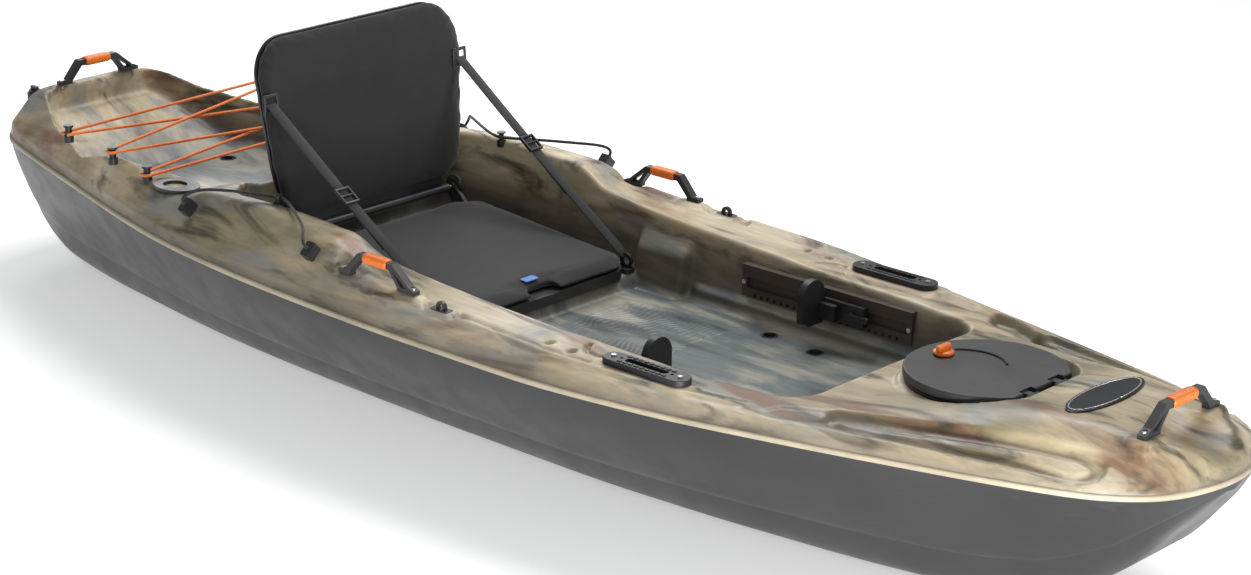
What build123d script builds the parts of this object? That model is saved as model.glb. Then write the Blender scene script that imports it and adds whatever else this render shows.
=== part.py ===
from build123d import *
import math
import os

os.makedirs("parts", exist_ok=True)

# A sit-on-top fishing kayak: two moulded shells joined at a seam, an open cockpit with a folding
# seat, a rear tank well, a bow hatch and screwed-on fittings.
# +X is the bow, +Y is port, +Z is up. The origin is on the keel, at mid-length, on the centreline.

# ---------------------------------------------------------------- driving dimensions, mm
half_length = 1475
half_beam = 430
wall = 5
seam_height = 258
seam_rise = 20          # extra seam height at each end

shelf_z = 206           # moulded shelf that the seat stands on
floor_z = 180           # cockpit floor
cockpit_rear = -560
cockpit_front = 798
shelf_front = -8
tank_floor_z = 237
tank_front = -622
tank_ramp_foot = -1150
tank_rear = -1322
tank_rear_z = 332

hatch_rear = 855
hatch_front = 1110
hatch_half_width = 140
hatch_seat_z = 316
hatch_top_z = 339

seat_front = 8
seat_rear = -470
hinge_x = -486
hinge_z = 284
back_top_z = 668
recline = 6             # degrees aft of upright

rail_centre_x = 450
rail_length = 400
rod_holder_x = -730
rod_holder_y = 297
rod_holder_z = 342
rod_bore_r = 21
gear_plate_x = 542
gear_plate_y = 341
gear_plate_z = 303
gear_plate_pitch = 150
gear_hole_r = 3.2
drain_x = -1446
drain_y = -92
drain_z = 352
drain_socket_r = 16

# hull stations: x, half width at the seam, keel height, gunwale height, centreline deck height
stations = [
    (-1475, 118, 190, 336, 340),
    (-1440, 165, 112, 352, 354),
    (-1390, 196, 52, 374, 378),
    (-1280, 230, 12, 386, 390),
    (-1050, 292, -1, 369, 371),
    (-760, 366, -1, 343, 344),
    (-670, 383, -1, 349, 350),
    (-590, 395, -1, 367, 368),
    (-400, 414, -1, 376, 377),
    (-220, 424, -1, 369, 370),
    (-140, 427, -1, 337, 338),
    (0, half_beam, -1, 321, 322),
    (300, half_beam, -1, 306, 307),
    (560, 405, -1, 298, 300),
    (800, 358, -1, 296, 302),
    (1050, 298, 6, 298, 332),
    (1220, 254, 36, 300, 352),
    (1340, 214, 108, 300, 347),
    (1420, 160, 196, 298, 333),
    (1475, 62, 262, 294, 310),
]


def seam_z(x):
    return seam_height + seam_rise * (x / half_length) ** 2


def half_section(station, inset):
    """Place along X and the bilge and gunwale curves of one cross-section, pulled in by inset."""
    x, width, keel, gunwale, crown = station
    seam = seam_z(x)
    depth = seam - keel
    place = x * (half_length - inset) / half_length
    width = width - inset
    keel = keel + inset
    gunwale = gunwale - inset
    crown = crown - inset
    shoulder = width - min(38, 0.4 * width)
    bilge = [(0.40 * width, keel), (0.60 * width, keel + 0.13 * depth),
             (0.74 * width, keel + 0.38 * depth), (0.90 * width, keel + 0.70 * depth), (width, seam)]
    rail = [(width, seam), (width - 6, seam + 0.55 * (gunwale - seam)), (shoulder, gunwale)]
    ridge = (0.45 * width, crown)
    return place, bilge, rail, ridge


def mirrored(points):
    return [(-y, z) for y, z in points]


# the outer form and the inner form of the closed boat; their difference is the skin
forms = []
for inset in (0, wall):
    with BuildPart() as form:
        for station in stations:
            place, bilge, rail, ridge = half_section(station, inset)
            with BuildSketch(Plane((place, 0, 0), x_dir=(0, 1, 0), z_dir=(1, 0, 0))):
                with BuildLine():
                    Line(mirrored(bilge)[0], bilge[0])
                    Spline(*bilge)
                    Spline(*rail)
                    Line(rail[-1], ridge)
                    Line(ridge, mirrored([ridge])[0])
                    Line(mirrored([ridge])[0], mirrored(rail)[-1])
                    Spline(*mirrored(rail))
                    Spline(*mirrored(bilge))
                make_face()
        loft()
        # the keel is dressed flat, so that the boat stands level
        with BuildSketch(Plane.XY.offset(-20)):
            Rectangle(4000, 1200)
        extrude(amount=20 + inset, mode=Mode.SUBTRACT)
    forms.append(form.part)
outer_form, inner_form = forms

# a tall block whose underside follows the seam
with BuildPart() as above_seam:
    with BuildSketch(Plane.XZ):
        with BuildLine():
            Spline(*[(x, seam_z(x)) for x in (-1600, -800, 0, 800, 1600)])
            Polyline((1600, seam_z(1600)), (1600, 800), (-1600, 800), (-1600, seam_z(-1600)))
        make_face()
    extrude(amount=600, both=True)


def mirrored_outline(half_widths):
    """A closed plan outline from (x, half width) pairs, given for the port side."""
    return half_widths + [(x, -y) for x, y in reversed(half_widths)]


# ---------------------------------------------------------------- wells sunk in the deck
cockpit_plan = mirrored_outline([(cockpit_rear, 262), (660, 262), (cockpit_front - 16, 232)])
tank_plan = mirrored_outline([(tank_front, 224), (-820, 224), (-900, 244), (-1070, 240),
                              (-1230, 178), (tank_rear, 122)])
cockpit_forms = []
tank_forms = []
for grow in (0, wall):
    with BuildPart() as cockpit_form:
        with BuildSketch(Plane.XY.offset(floor_z - grow)):
            with BuildLine():
                Polyline(*cockpit_plan, close=True)
            make_face()
            fillet(vertices(), 45)
            if grow:
                offset(amount=grow)
        extrude(amount=240, taper=-11)
        with BuildSketch(Plane.XY.offset(floor_z - grow - 1)):
            with Locations((shelf_front - grow - 500, 0)):
                Rectangle(1000, 800)
        extrude(amount=shelf_z - floor_z + 1, mode=Mode.SUBTRACT)
    cockpit_forms.append(cockpit_form.part)
    with BuildPart() as tank_form:
        with BuildSketch(Plane.XY.offset(200)):
            with BuildLine():
                Polyline(*tank_plan, close=True)
            make_face()
            fillet(vertices(), 25)
            if grow:
                offset(amount=grow)
        extrude(amount=260, taper=-8)
        with BuildSketch(Plane.XZ):
            with BuildLine():
                Polyline((tank_front + 60, tank_floor_z - grow), (tank_ramp_foot, tank_floor_z - grow),
                         (tank_rear, tank_rear_z - grow), (tank_rear - 60, tank_rear_z - grow + 34),
                         (tank_rear - 60, 480), (tank_front + 60, 480), close=True)
            make_face()
        extrude(amount=400, both=True, mode=Mode.INTERSECT)
    tank_forms.append(tank_form.part)
cockpit_space, cockpit_skin = cockpit_forms
tank_space, tank_skin = tank_forms

# ---------------------------------------------------------------- places of the fittings
# handles: name, x, y, z of the feet, turn about Z, distance between the feet
handles = [
    ("bow_handle", 1368, 0, 346, -90, 176),
    ("stern_handle", -1345, 0, 390, 90, 166),
    ("starboard_handle", -66, -384, 326, 0, 156),
    ("port_handle", -66, 384, 326, 180, 156),
]
scuppers = [(358, 208, floor_z), (476, 196, floor_z), (-180, 170, shelf_z), (-1080, 130, tank_floor_z)]
scupper_r = 16
rod_lean_x = -0.5
rod_lean_y = 0.17
rod_rise = 0.85

# ---------------------------------------------------------------- hull shell
with BuildPart() as scupper_drills:
    for side in (-1, 1):
        for x, y, top in scuppers:
            with BuildSketch(Plane.XY.offset(-10)):
                with Locations((x, side * y)):
                    Circle(scupper_r)
            extrude(amount=top + 14)

with BuildPart() as hull_shell:
    add(outer_form)
    add(inner_form, mode=Mode.SUBTRACT)
    add(above_seam.part, mode=Mode.SUBTRACT)
    add(scupper_drills.part, mode=Mode.SUBTRACT)

# ---------------------------------------------------------------- deck shell
with BuildPart() as deck_hollow:
    add(inner_form)
    add(cockpit_skin, mode=Mode.SUBTRACT)
    add(tank_skin, mode=Mode.SUBTRACT)

with BuildPart() as low_skins:
    add(cockpit_skin)
    add(tank_skin)
    with BuildSketch(Plane.XY.offset(seam_height + seam_rise + 6)):
        Rectangle(3200, 1000)
    extrude(amount=400, mode=Mode.SUBTRACT)

# flats that the handles, gear plates and rod holders are screwed to, and the room above them
flat_forms = []
for depth in (-16, 26):
    with BuildPart() as flat_form:
        for side in (-1, 1):
            with BuildSketch(Plane.XY.offset(gear_plate_z)):
                with Locations((gear_plate_x, side * gear_plate_y)):
                    Rectangle(206, 56)
            extrude(amount=depth)
            with BuildSketch(Plane.XY.offset(rod_holder_z)):
                with Locations((rod_holder_x, side * rod_holder_y)):
                    Rectangle(112, 92)
            extrude(amount=depth)
        for name, x, y, z, turn, span in handles:
            across = Vector(1, 0, 0).rotate(Axis.Z, turn)
            with BuildSketch(Plane((x, y, z), x_dir=across)):
                with Locations((-span / 2, 0), (span / 2, 0)):
                    Rectangle(50, 26)
            extrude(amount=depth)
    flat_forms.append(flat_form.part)
flat_blocks, flat_room = flat_forms

# the hatch seat: a raised D-shaped ring with the hatch opening through it
hatch_centre_x = hatch_rear + hatch_half_width
hatch_forms = []
for grow, grow_front, low, high in ((10, 26, hatch_seat_z - 26, hatch_seat_z),
                                    (14, 22, hatch_seat_z, hatch_seat_z + 40),
                                    (-30, -30, hatch_seat_z - 60, hatch_seat_z + 5)):
    with BuildPart() as hatch_form:
        with BuildSketch(Plane.XY.offset(low)):
            with Locations((hatch_centre_x, 0)):
                Circle(hatch_half_width + grow)
            with Locations((hatch_front + grow_front - 500, 0)):
                Rectangle(1000, 400, mode=Mode.INTERSECT)
        extrude(amount=high - low)
    hatch_forms.append(hatch_form.part)
hatch_block, hatch_room, hatch_opening = hatch_forms

rod_planes = {}
for side in (-1, 1):
    axis = (rod_lean_x, side * rod_lean_y, rod_rise)
    rod_planes[side] = Plane((rod_holder_x, side * rod_holder_y, rod_holder_z), z_dir=axis)

with BuildPart() as deck_room:
    add(deck_hollow.part)
    add(flat_blocks, mode=Mode.SUBTRACT)
    add(hatch_block, mode=Mode.SUBTRACT)
    add(flat_room)
    add(hatch_room)
    add(hatch_opening)
    for side in (-1, 1):
        with BuildSketch(rod_planes[side]):
            Circle(rod_bore_r + 3.5)
        extrude(amount=60, both=True)
        with BuildSketch(Plane.XY.offset(gear_plate_z)):
            with Locations((gear_plate_x, side * gear_plate_y)):
                with GridLocations(gear_plate_pitch - 36, 1, 2, 1):
                    Circle(gear_hole_r + 0.2)
        extrude(amount=-30)
    with BuildSketch(Plane.XY.offset(drain_z + 6)):
        with Locations((drain_x, drain_y)):
            Circle(drain_socket_r - 0.5)
    extrude(amount=-30)

with BuildPart() as deck_shell:
    add(outer_form)
    add(above_seam.part, mode=Mode.INTERSECT)
    add(flat_blocks)
    add(hatch_block)
    add(deck_room.part, mode=Mode.SUBTRACT)
    add(low_skins.part)
    add(cockpit_space, mode=Mode.SUBTRACT)
    add(tank_space, mode=Mode.SUBTRACT)
    # pads behind the foot rails
    for side in (-1, 1):
        with BuildSketch(Plane.XY.offset(212)):
            with Locations((rail_centre_x, side * 280)):
                Rectangle(rail_length + 16, 24)
        extrude(amount=76)
    add(scupper_drills.part, mode=Mode.SUBTRACT)

# the one deck moulding, in regions around its wells
tank_edge = [(-1320, 165), (-1240, 214), (-1090, 272), (-880, 276), (-800, 250), (-640, 250)]
side_outline = tank_edge + [(-640, 310), (822, 310), (822, 500), (-1320, 500)]
side_spans = {
    "aft_side_decks": (-1320, -175),
    "middle_side_decks": (-175, 170),
    "fore_side_decks": (170, 822),
}
regions = {
    "bow_deck": [(822, -500), (1600, -500), (1600, 500), (822, 500)],
    "aft_side_decks": side_outline,
    "middle_side_decks": side_outline,
    "fore_side_decks": side_outline,
    "cockpit_tub": [(-535, -310), (822, -310), (822, 310), (-535, 310)],
    "cockpit_tank_bulkhead": [(-640, -310), (-535, -310), (-535, 310), (-640, 310)],
    "tank_tub": tank_edge + [(x, -y) for x, y in reversed(tank_edge)],
    "stern_deck": [(-1600, -500), (-1320, -500), (-1320, 500), (-1600, 500)],
}
deck_parts = []
for name, outline in regions.items():
    with BuildPart() as region:
        with BuildSketch():
            with BuildLine():
                Polyline(*outline, close=True)
            make_face()
        extrude(amount=500)
        if name in side_spans:
            rear, front = side_spans[name]
            mirror(about=Plane.XZ)
            with Locations(((rear + front) / 2, 0, 250)):
                Box(front - rear, 1000, 500, mode=Mode.INTERSECT)
        add(deck_shell.part, mode=Mode.INTERSECT)
    region.part.label = name
    deck_parts.append(region.part)

# ---------------------------------------------------------------- inside the hull
with BuildPart() as scupper_tubes:
    for side in (-1, 1):
        for x, y, top in scuppers:
            with BuildSketch(Plane.XY.offset(-10)):
                with Locations((x, side * y)):
                    Circle(scupper_r - 0.05)
                    Circle(scupper_r - 4, mode=Mode.SUBTRACT)
            extrude(amount=top + 10)
    add(outer_form, mode=Mode.INTERSECT)

foam_blocks = {
    "bow_flotation_foam": (1150, 1320, 70, 132, 270),
    "stern_flotation_foam": (-1130, -650, 96, 8, tank_floor_z - wall),
}
foam_parts = []
for name, (rear, front, half_width, low, high) in foam_blocks.items():
    with BuildPart() as foam:
        with BuildSketch(Plane.XY.offset(low)):
            with Locations(((rear + front) / 2, 0)):
                RectangleRounded(front - rear, 2 * half_width, 30)
        extrude(amount=high - low)
    foam.part.label = name
    foam_parts.append(foam.part)

with BuildPart() as seat_shelf_foam:
    with BuildSketch(Plane.XY.offset(8)):
        with Locations((-330, -90), (-330, 90)):
            RectangleRounded(240, 130, 20)
    extrude(amount=shelf_z - wall - 8)

# ---------------------------------------------------------------- carry handles
handle_parts = []
grip_parts = []
screw_spots = []
for name, x, y, z, turn, span in handles:
    across = Vector(1, 0, 0).rotate(Axis.Z, turn)
    side_view = Plane((x, y, z), x_dir=across, z_dir=across.cross(Vector(0, 0, 1)))
    h = span / 2
    with BuildPart() as handle:
        with BuildSketch(side_view):
            with BuildLine():
                Polyline((-h - 20, 0), (-h - 20, 7), (-h - 2, 10), (-h + 30, 46), (h - 36, 46),
                         (h + 4, 14), (h + 20, 7), (h + 20, 0), (h - 22, 0), (h - 24, 8), (h - 44, 34),
                         (-h + 36, 34), (-h + 10, 6), (-h + 10, 0), close=True)
            make_face()
            with BuildLine():
                Polyline((h - 35, 34), (h - 14, 8), (h, 8), (h - 2, 11), close=True)
            make_face(mode=Mode.SUBTRACT)
        extrude(amount=8, both=True)
        with BuildSketch(Plane((x, y, z + 10), x_dir=across)):
            with Locations((-h - 12, 0), (h + 12, 0)):
                Circle(2.6)
        extrude(amount=-12, mode=Mode.SUBTRACT)
        with BuildSketch(Plane((x, y, z + 8), x_dir=across)):
            with Locations((-h - 12, 0), (h + 12, 0)):
                Circle(5.2)
        extrude(amount=8, mode=Mode.SUBTRACT)
    handle.part.label = name
    handle_parts.append(handle.part)
    grip_plane = Plane(side_view.from_local_coords((-3, 40, 0)), x_dir=Vector(0, 0, 1), z_dir=across)
    with BuildPart() as grip:
        with BuildSketch(grip_plane):
            RectangleRounded(20, 24, 9)
            Rectangle(12.04, 16.04, mode=Mode.SUBTRACT)
        extrude(amount=span * 0.19, both=True)
    grip.part.label = name.replace("handle", "grip")
    grip_parts.append(grip.part)
    for end in (-1, 1):
        screw_spots.append(side_view.from_local_coords((end * (h + 12), 8.1, 0)))

with BuildPart() as handle_screws:
    for spot in screw_spots:
        with BuildSketch(Plane(spot)):
            Circle(2.5)
        extrude(amount=-24)
        with BuildSketch(Plane(spot)):
            Circle(4.6)
        extrude(amount=2.6)

# ---------------------------------------------------------------- bow hatch
hinge_pin_x = hatch_front + 5
hinge_pin_z = hatch_seat_z + 14
lid_low = hatch_seat_z + 9
hinge_spacing = 40
knob_x = hatch_rear + 50


with BuildPart() as hatch_rim:
    for grow, inner, low, high in ((-2, -38, hatch_seat_z, hatch_seat_z + 6),
                                   (-31, -38, hatch_seat_z - 30, hatch_seat_z + 3)):
        with BuildSketch(Plane.XY.offset(low)):
            with Locations((hatch_centre_x, 0)):
                Circle(hatch_half_width + grow)
            with Locations((hatch_front + grow - 500, 0)):
                Rectangle(1000, 400, mode=Mode.INTERSECT)
        extrude(amount=high - low)
    with BuildSketch(Plane.XY.offset(hatch_seat_z - 40)):
        with Locations((hatch_centre_x, 0)):
            Circle(hatch_half_width - 38)
        with Locations((hatch_front - 38 - 500, 0)):
            Rectangle(1000, 400, mode=Mode.INTERSECT)
    extrude(amount=80, mode=Mode.SUBTRACT)
    for sign in (-1, 1):
        for lug_y in (sign * hinge_spacing - 12, sign * hinge_spacing + 12):
            with BuildSketch(Plane((hinge_pin_x, lug_y, 0), x_dir=(1, 0, 0), z_dir=(0, -1, 0))):
                with BuildLine():
                    Polyline((-9, hatch_seat_z + 3), (-5, hinge_pin_z), (5, hinge_pin_z),
                             (5, hatch_seat_z + 0.5), (-3, hatch_seat_z + 0.5), close=True)
                make_face()
                with Locations((0, hinge_pin_z)):
                    Circle(5)
                    Circle(2.5, mode=Mode.SUBTRACT)
            extrude(amount=4, both=True)

with BuildPart() as hatch_gasket:
    with BuildSketch(Plane.XY.offset(hatch_seat_z + 6)):
        for grow, mode in ((-8, Mode.ADD), (-14, Mode.SUBTRACT)):
            with BuildSketch(Plane.XY.offset(hatch_seat_z + 6), mode=Mode.PRIVATE) as ring:
                with Locations((hatch_centre_x, 0)):
                    Circle(hatch_half_width + grow)
                with Locations((hatch_front + grow - 500, 0)):
                    Rectangle(1000, 400, mode=Mode.INTERSECT)
            add(ring.sketch, mode=mode)
    extrude(amount=lid_low - hatch_seat_z - 6)

with BuildPart() as hatch_lid:
    with BuildSketch(Plane.XY.offset(lid_low)):
        with Locations((hatch_centre_x, 0)):
            Circle(hatch_half_width)
        with Locations((hatch_front - 500, 0)):
            Rectangle(1000, 400, mode=Mode.INTERSECT)
    extrude(amount=hatch_top_z - lid_low)
    fillet(faces().sort_by(Axis.Z)[-1].edges(), 4)
    for sign in (-1, 1):
        with BuildSketch(Plane.XY.offset(lid_low - 1)):
            with Locations((hatch_front, sign * hinge_spacing)):
                Rectangle(22, 34)
        extrude(amount=30, mode=Mode.SUBTRACT)
        with BuildSketch(Plane((hinge_pin_x, sign * hinge_spacing, 0), x_dir=(1, 0, 0), z_dir=(0, -1, 0))):
            with BuildLine():
                Polyline((-20, hinge_pin_z - 4), (-20, hinge_pin_z + 5), (0, hinge_pin_z + 5),
                         (0, hinge_pin_z - 4), close=True)
            make_face()
            with Locations((0, hinge_pin_z)):
                Circle(5)
                Circle(2.55, mode=Mode.SUBTRACT)
        extrude(amount=7.5, both=True)
    with BuildSketch(Plane.XY.offset(lid_low - 1)):
        with Locations((knob_x, 0)):
            Circle(6.1)
    extrude(amount=40, mode=Mode.SUBTRACT)

with BuildPart() as hatch_hinge_pins:
    for sign in (-1, 1):
        pin_centre = (hinge_pin_x, sign * hinge_spacing, hinge_pin_z)
        with BuildSketch(Plane(pin_centre, x_dir=(1, 0, 0), z_dir=(0, -1, 0))):
            Circle(2.5)
        extrude(amount=17, both=True)

# an oval turn knob with a latch bar under the lid
with BuildPart() as hatch_knob:
    with BuildSketch(Plane.XY.offset(hatch_top_z + 0.4)):
        with Locations((knob_x, 0)):
            Circle(17)
    extrude(amount=4)
    with BuildSketch(Plane.XY.offset(hatch_top_z + 4.4)):
        with Locations((knob_x, 0)):
            SlotOverall(44, 17)
    extrude(amount=15)
    with BuildSketch(Plane.XY.offset(lid_low - 9)):
        with Locations((knob_x, 0)):
            Circle(6)
    extrude(amount=hatch_top_z + 1 - lid_low + 9)
    with BuildSketch(Plane.XY.offset(lid_low - 15)):
        with Locations((knob_x, 0)):
            RectangleRounded(20, 14, 5)
    extrude(amount=6)

# ---------------------------------------------------------------- gear plates on the gunwales
gear_plate_parts = []
for side, name in ((-1, "starboard_gear_plate"), (1, "port_gear_plate")):
    with BuildPart() as gear_plate:
        with BuildSketch(Plane.XY.offset(gear_plate_z)):
            with Locations((gear_plate_x, side * gear_plate_y)):
                SlotOverall(187, 44)
        extrude(amount=11)
        fillet(faces().sort_by(Axis.Z)[-1].edges(), 2.5)
        with BuildSketch(Plane.XY.offset(gear_plate_z + 4)):
            with Locations((gear_plate_x, side * gear_plate_y)):
                SlotOverall(gear_plate_pitch - 56, 15)
        extrude(amount=20, mode=Mode.SUBTRACT)
        with BuildSketch(Plane.XY.offset(gear_plate_z - 1)):
            with Locations((gear_plate_x, side * gear_plate_y)):
                with GridLocations(gear_plate_pitch, 1, 2, 1):
                    Circle(2.6)
                with GridLocations(gear_plate_pitch - 36, 1, 2, 1):
                    Circle(gear_hole_r)
        extrude(amount=20, mode=Mode.SUBTRACT)
    gear_plate.part.label = name
    gear_plate_parts.append(gear_plate.part)

with BuildPart() as gear_plate_screws:
    for side in (-1, 1):
        for low, radius, height in ((gear_plate_z - 14, 2.5, 26), (gear_plate_z + 11, 4.6, 2.2)):
            with BuildSketch(Plane.XY.offset(low)):
                with Locations((gear_plate_x, side * gear_plate_y)):
                    with GridLocations(gear_plate_pitch, 1, 2, 1):
                        Circle(radius)
            extrude(amount=height)

# ---------------------------------------------------------------- foot braces
rail_low = 222
rail_high = 284
groove_z = 250
latch_x = rail_centre_x + 74
rail_parts = []
peg_parts = []
latch_parts = []
for side, name in ((-1, "starboard"), (1, "port")):
    with BuildPart() as foot_rail:
        with BuildSketch(Plane.XY.offset(rail_low)):
            with Locations((rail_centre_x, side * 260.9)):
                Rectangle(rail_length, 14)
        extrude(amount=rail_high - rail_low)
        with BuildSketch(Plane.XY.offset(groove_z - 10)):
            with Locations((rail_centre_x, side * 257)):
                Rectangle(rail_length - 24, 9)
        extrude(amount=20, mode=Mode.SUBTRACT)
        with BuildSketch(Plane.XY.offset(rail_low - 1)):
            with Locations((rail_centre_x, side * 255)):
                with GridLocations(16, 1, 22, 1):
                    Rectangle(7, 8)
        extrude(amount=9, mode=Mode.SUBTRACT)
    foot_rail.part.label = name + "_foot_rail"
    rail_parts.append(foot_rail.part)

    with BuildPart() as foot_peg:
        # slider and its tongue in the rail groove
        with BuildSketch(Plane.XY.offset(groove_z - 18)):
            with Locations((rail_centre_x + 44, side * 246.5)):
                Rectangle(112, 13)
        extrude(amount=38)
        with BuildSketch(Plane.XY.offset(groove_z - 9)):
            with Locations((rail_centre_x + 44, side * 254)):
                Rectangle(90, 10)
        extrude(amount=18)
        # the blade that the foot presses on
        with BuildSketch(Plane((rail_centre_x, side * 212, 258), x_dir=(0, side, 0), z_dir=(side, 0, 0))):
            Rectangle(64, 52)
            with Locations((0, 20)):
                Circle(32)
            with Locations((6, -20)):
                SlotOverall(60, 30)
        extrude(amount=7, both=True)
        with BuildSketch(Plane.XY.offset(groove_z - 16)):
            with Locations((rail_centre_x + 20, side * 234)):
                Rectangle(46, 16)
        extrude(amount=30)
        with BuildSketch(Plane((latch_x, side * 239, groove_z), z_dir=(0, side, 0))):
            Circle(3.05)
        extrude(amount=9, mode=Mode.SUBTRACT)
    foot_peg.part.label = name + "_foot_peg"
    peg_parts.append(foot_peg.part)

    with BuildPart() as peg_latch:
        with BuildSketch(Plane((latch_x, side * 239.5, groove_z), x_dir=(1, 0, 0), z_dir=(0, -side, 0))):
            Circle(8)
            with Locations((18, 0)):
                SlotOverall(44, 11)
        extrude(amount=7)
        with BuildSketch(Plane((latch_x, side * 239.5, groove_z), z_dir=(0, side, 0))):
            Circle(3)
        extrude(amount=8)
    peg_latch.part.label = name + "_peg_latch"
    latch_parts.append(peg_latch.part)

with BuildPart() as foot_rail_screws:
    for side in (-1, 1):
        for x in (rail_centre_x - rail_length / 2 + 6, rail_centre_x + rail_length / 2 - 6):
            with BuildSketch(Plane((x, side * 253.9, groove_z), z_dir=(0, side, 0))):
                Circle(2.5)
            extrude(amount=26)
            with BuildSketch(Plane((x, side * 253.9, groove_z), z_dir=(0, -side, 0))):
                Circle(4.5)
            extrude(amount=2.4)

# ---------------------------------------------------------------- flush rod holders
rod_parts = []
for side, name in ((-1, "starboard_rod_holder"), (1, "port_rod_holder")):
    with BuildPart() as rod_holder:
        with BuildSketch(rod_planes[side]):
            Circle(rod_bore_r + 3)
        extrude(amount=-215)
        with BuildSketch(rod_planes[side]):
            Circle(rod_bore_r + 3)
        extrude(amount=30)
        with BuildSketch(Plane.XY.offset(rod_holder_z)):
            with Locations((rod_holder_x, side * rod_holder_y)):
                Ellipse(52, 40)
        extrude(amount=6)
        with BuildSketch(Plane.XY.offset(rod_holder_z + 6)):
            Rectangle(3000, 1000)
        extrude(amount=60, mode=Mode.SUBTRACT)
        with BuildSketch(rod_planes[side].offset(-209)):
            Circle(rod_bore_r)
        extrude(amount=260, mode=Mode.SUBTRACT)
    rod_holder.part.label = name
    rod_parts.append(rod_holder.part)

# ---------------------------------------------------------------- eyes and hooks for the cords
lacing_eyes_at = [(-1074, 290, 373), (-927, 296, 359), (-806, 308, 348)]
hook_r = 7
with BuildPart() as lacing_eyes:
    for side in (-1, 1):
        for x, y, z in lacing_eyes_at:
            for low, radius, height in ((-12, 10, 14), (-12, hook_r, 32), (19, 10, 4)):
                with BuildSketch(Plane.XY.offset(z + low)):
                    with Locations((x, side * y)):
                        Circle(radius)
                extrude(amount=height)

with BuildPart() as pad_eyes:
    for side in (-1, 1):
        with BuildSketch(Plane.XY.offset(300)):
            with Locations((97, side * 386)):
                RectangleRounded(44, 20, 6)
        extrude(amount=17)
        with BuildSketch(Plane.XZ.offset(-side * 386)):
            with Locations((97, 321)):
                Circle(11)
                Circle(5.5, mode=Mode.SUBTRACT)
        extrude(amount=3.5, both=True)

keeper_rear = (-612, 373, 348)
keeper_hook = (-430, 300, 376)
keeper_front = (-232, 403, 355)
with BuildPart() as keeper_anchors:
    for side in (-1, 1):
        for x, y, z in (keeper_rear, keeper_front):
            with BuildSketch(Plane((x, side * (y - 12), z - 12), z_dir=(0, side * 0.7, 0.7))):
                RectangleRounded(30, 22, 4)
            extrude(amount=20)
with BuildPart() as keeper_hooks:
    x, y, z = keeper_hook
    for side in (-1, 1):
        for low, radius, height in ((-14, 9, 16), (-14, 5, 30), (14, 9, 3)):
            with BuildSketch(Plane.XY.offset(z + low)):
                with Locations((x, side * y)):
                    Circle(radius)
            extrude(amount=height)

# ---------------------------------------------------------------- badge and drain plug
with BuildPart() as bow_badge:
    with BuildSketch(Plane((1228, 0, 344), x_dir=(0, 1, 0), z_dir=(0, 0, 1))):
        Ellipse(104, 33)
    extrude(amount=11)
    fillet(faces().sort_by(Axis.Z)[-1].edges(), 1.5)

with BuildPart() as drain_socket:
    with BuildSketch(Plane.XY.offset(drain_z - 18)):
        with Locations((drain_x, drain_y)):
            Circle(drain_socket_r)
    extrude(amount=20)
    with BuildSketch(Plane.XY.offset(drain_z - 20)):
        with Locations((drain_x, drain_y)):
            Circle(9)
    extrude(amount=40, mode=Mode.SUBTRACT)
with BuildPart() as drain_plug:
    for low, radius, height in ((-14, 8.95, 16.4), (2.4, 13, 5)):
        with BuildSketch(Plane.XY.offset(drain_z + low)):
            with Locations((drain_x, drain_y)):
                Circle(radius)
        extrude(amount=height)
    with BuildSketch(Plane.XY.offset(drain_z + 7.4)):
        with Locations((drain_x, drain_y)):
            SlotOverall(24, 8)
    extrude(amount=8)

# ---------------------------------------------------------------- folding seat
hinge_half_width = 208
seat_low = shelf_z + 0.3
pan_top = 226


def seat_plan(shrink):
    rear_half = 250 - shrink
    front_half = 226 - shrink
    return mirrored_outline([(seat_rear + shrink, rear_half), (seat_front - shrink, front_half)])


with BuildPart() as seat_pan:
    with BuildSketch(Plane.XY.offset(seat_low)):
        with BuildLine():
            Polyline(*seat_plan(6), close=True)
        make_face()
        fillet(vertices(), 55)
    extrude(amount=pan_top - seat_low)
    for side in (-1, 1):
        with BuildSketch(Plane.XZ.offset(-side * (hinge_half_width + 8))):
            with BuildLine():
                Polyline((hinge_x - 9, hinge_z + 4), (hinge_x + 9, hinge_z + 4), (hinge_x + 76, pan_top - 2),
                         (hinge_x + 76, seat_low), (hinge_x + 30, seat_low), (hinge_x - 9, hinge_z - 14),
                         close=True)
            make_face()
            with Locations((hinge_x, hinge_z)):
                Circle(9)
                Circle(4, mode=Mode.SUBTRACT)
        extrude(amount=4, both=True)

with BuildPart() as seat_cushion:
    with BuildSketch(Plane.XZ):
        with BuildLine():
            Polyline((seat_rear, pan_top), (seat_rear, 264), (seat_rear + 40, 266), (seat_front - 30, 247),
                     (seat_front, 238), (seat_front, pan_top), close=True)
        make_face()
    extrude(amount=260, both=True)
    with BuildSketch(Plane.XY.offset(seat_low)):
        with BuildLine():
            Polyline(*seat_plan(0), close=True)
        make_face()
        fillet(vertices(), 60)
    extrude(amount=100, mode=Mode.INTERSECT)
    # finger notch in the front edge, and room for the hinge plates
    with BuildSketch(Plane.XY.offset(pan_top - 1)):
        with Locations((seat_front - 4, -14)):
            RectangleRounded(44, 72, 12)
        for side in (-1, 1):
            with Locations((hinge_x + 40, side * (hinge_half_width + 8))):
                Rectangle(80, 10)
    extrude(amount=60, mode=Mode.SUBTRACT)

with BuildPart() as seat_tab:
    with BuildSketch(Plane((seat_front - 50, -20, 249.5), x_dir=(0, 1, 0), z_dir=(0.067, 0, 1))):
        RectangleRounded(34, 18, 3)
    extrude(amount=1.6)

back_height = (back_top_z - hinge_z) / math.cos(math.radians(recline))
bend_height = 0.72 * back_height
bend = 9                # extra lean of the top quarter, degrees


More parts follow.
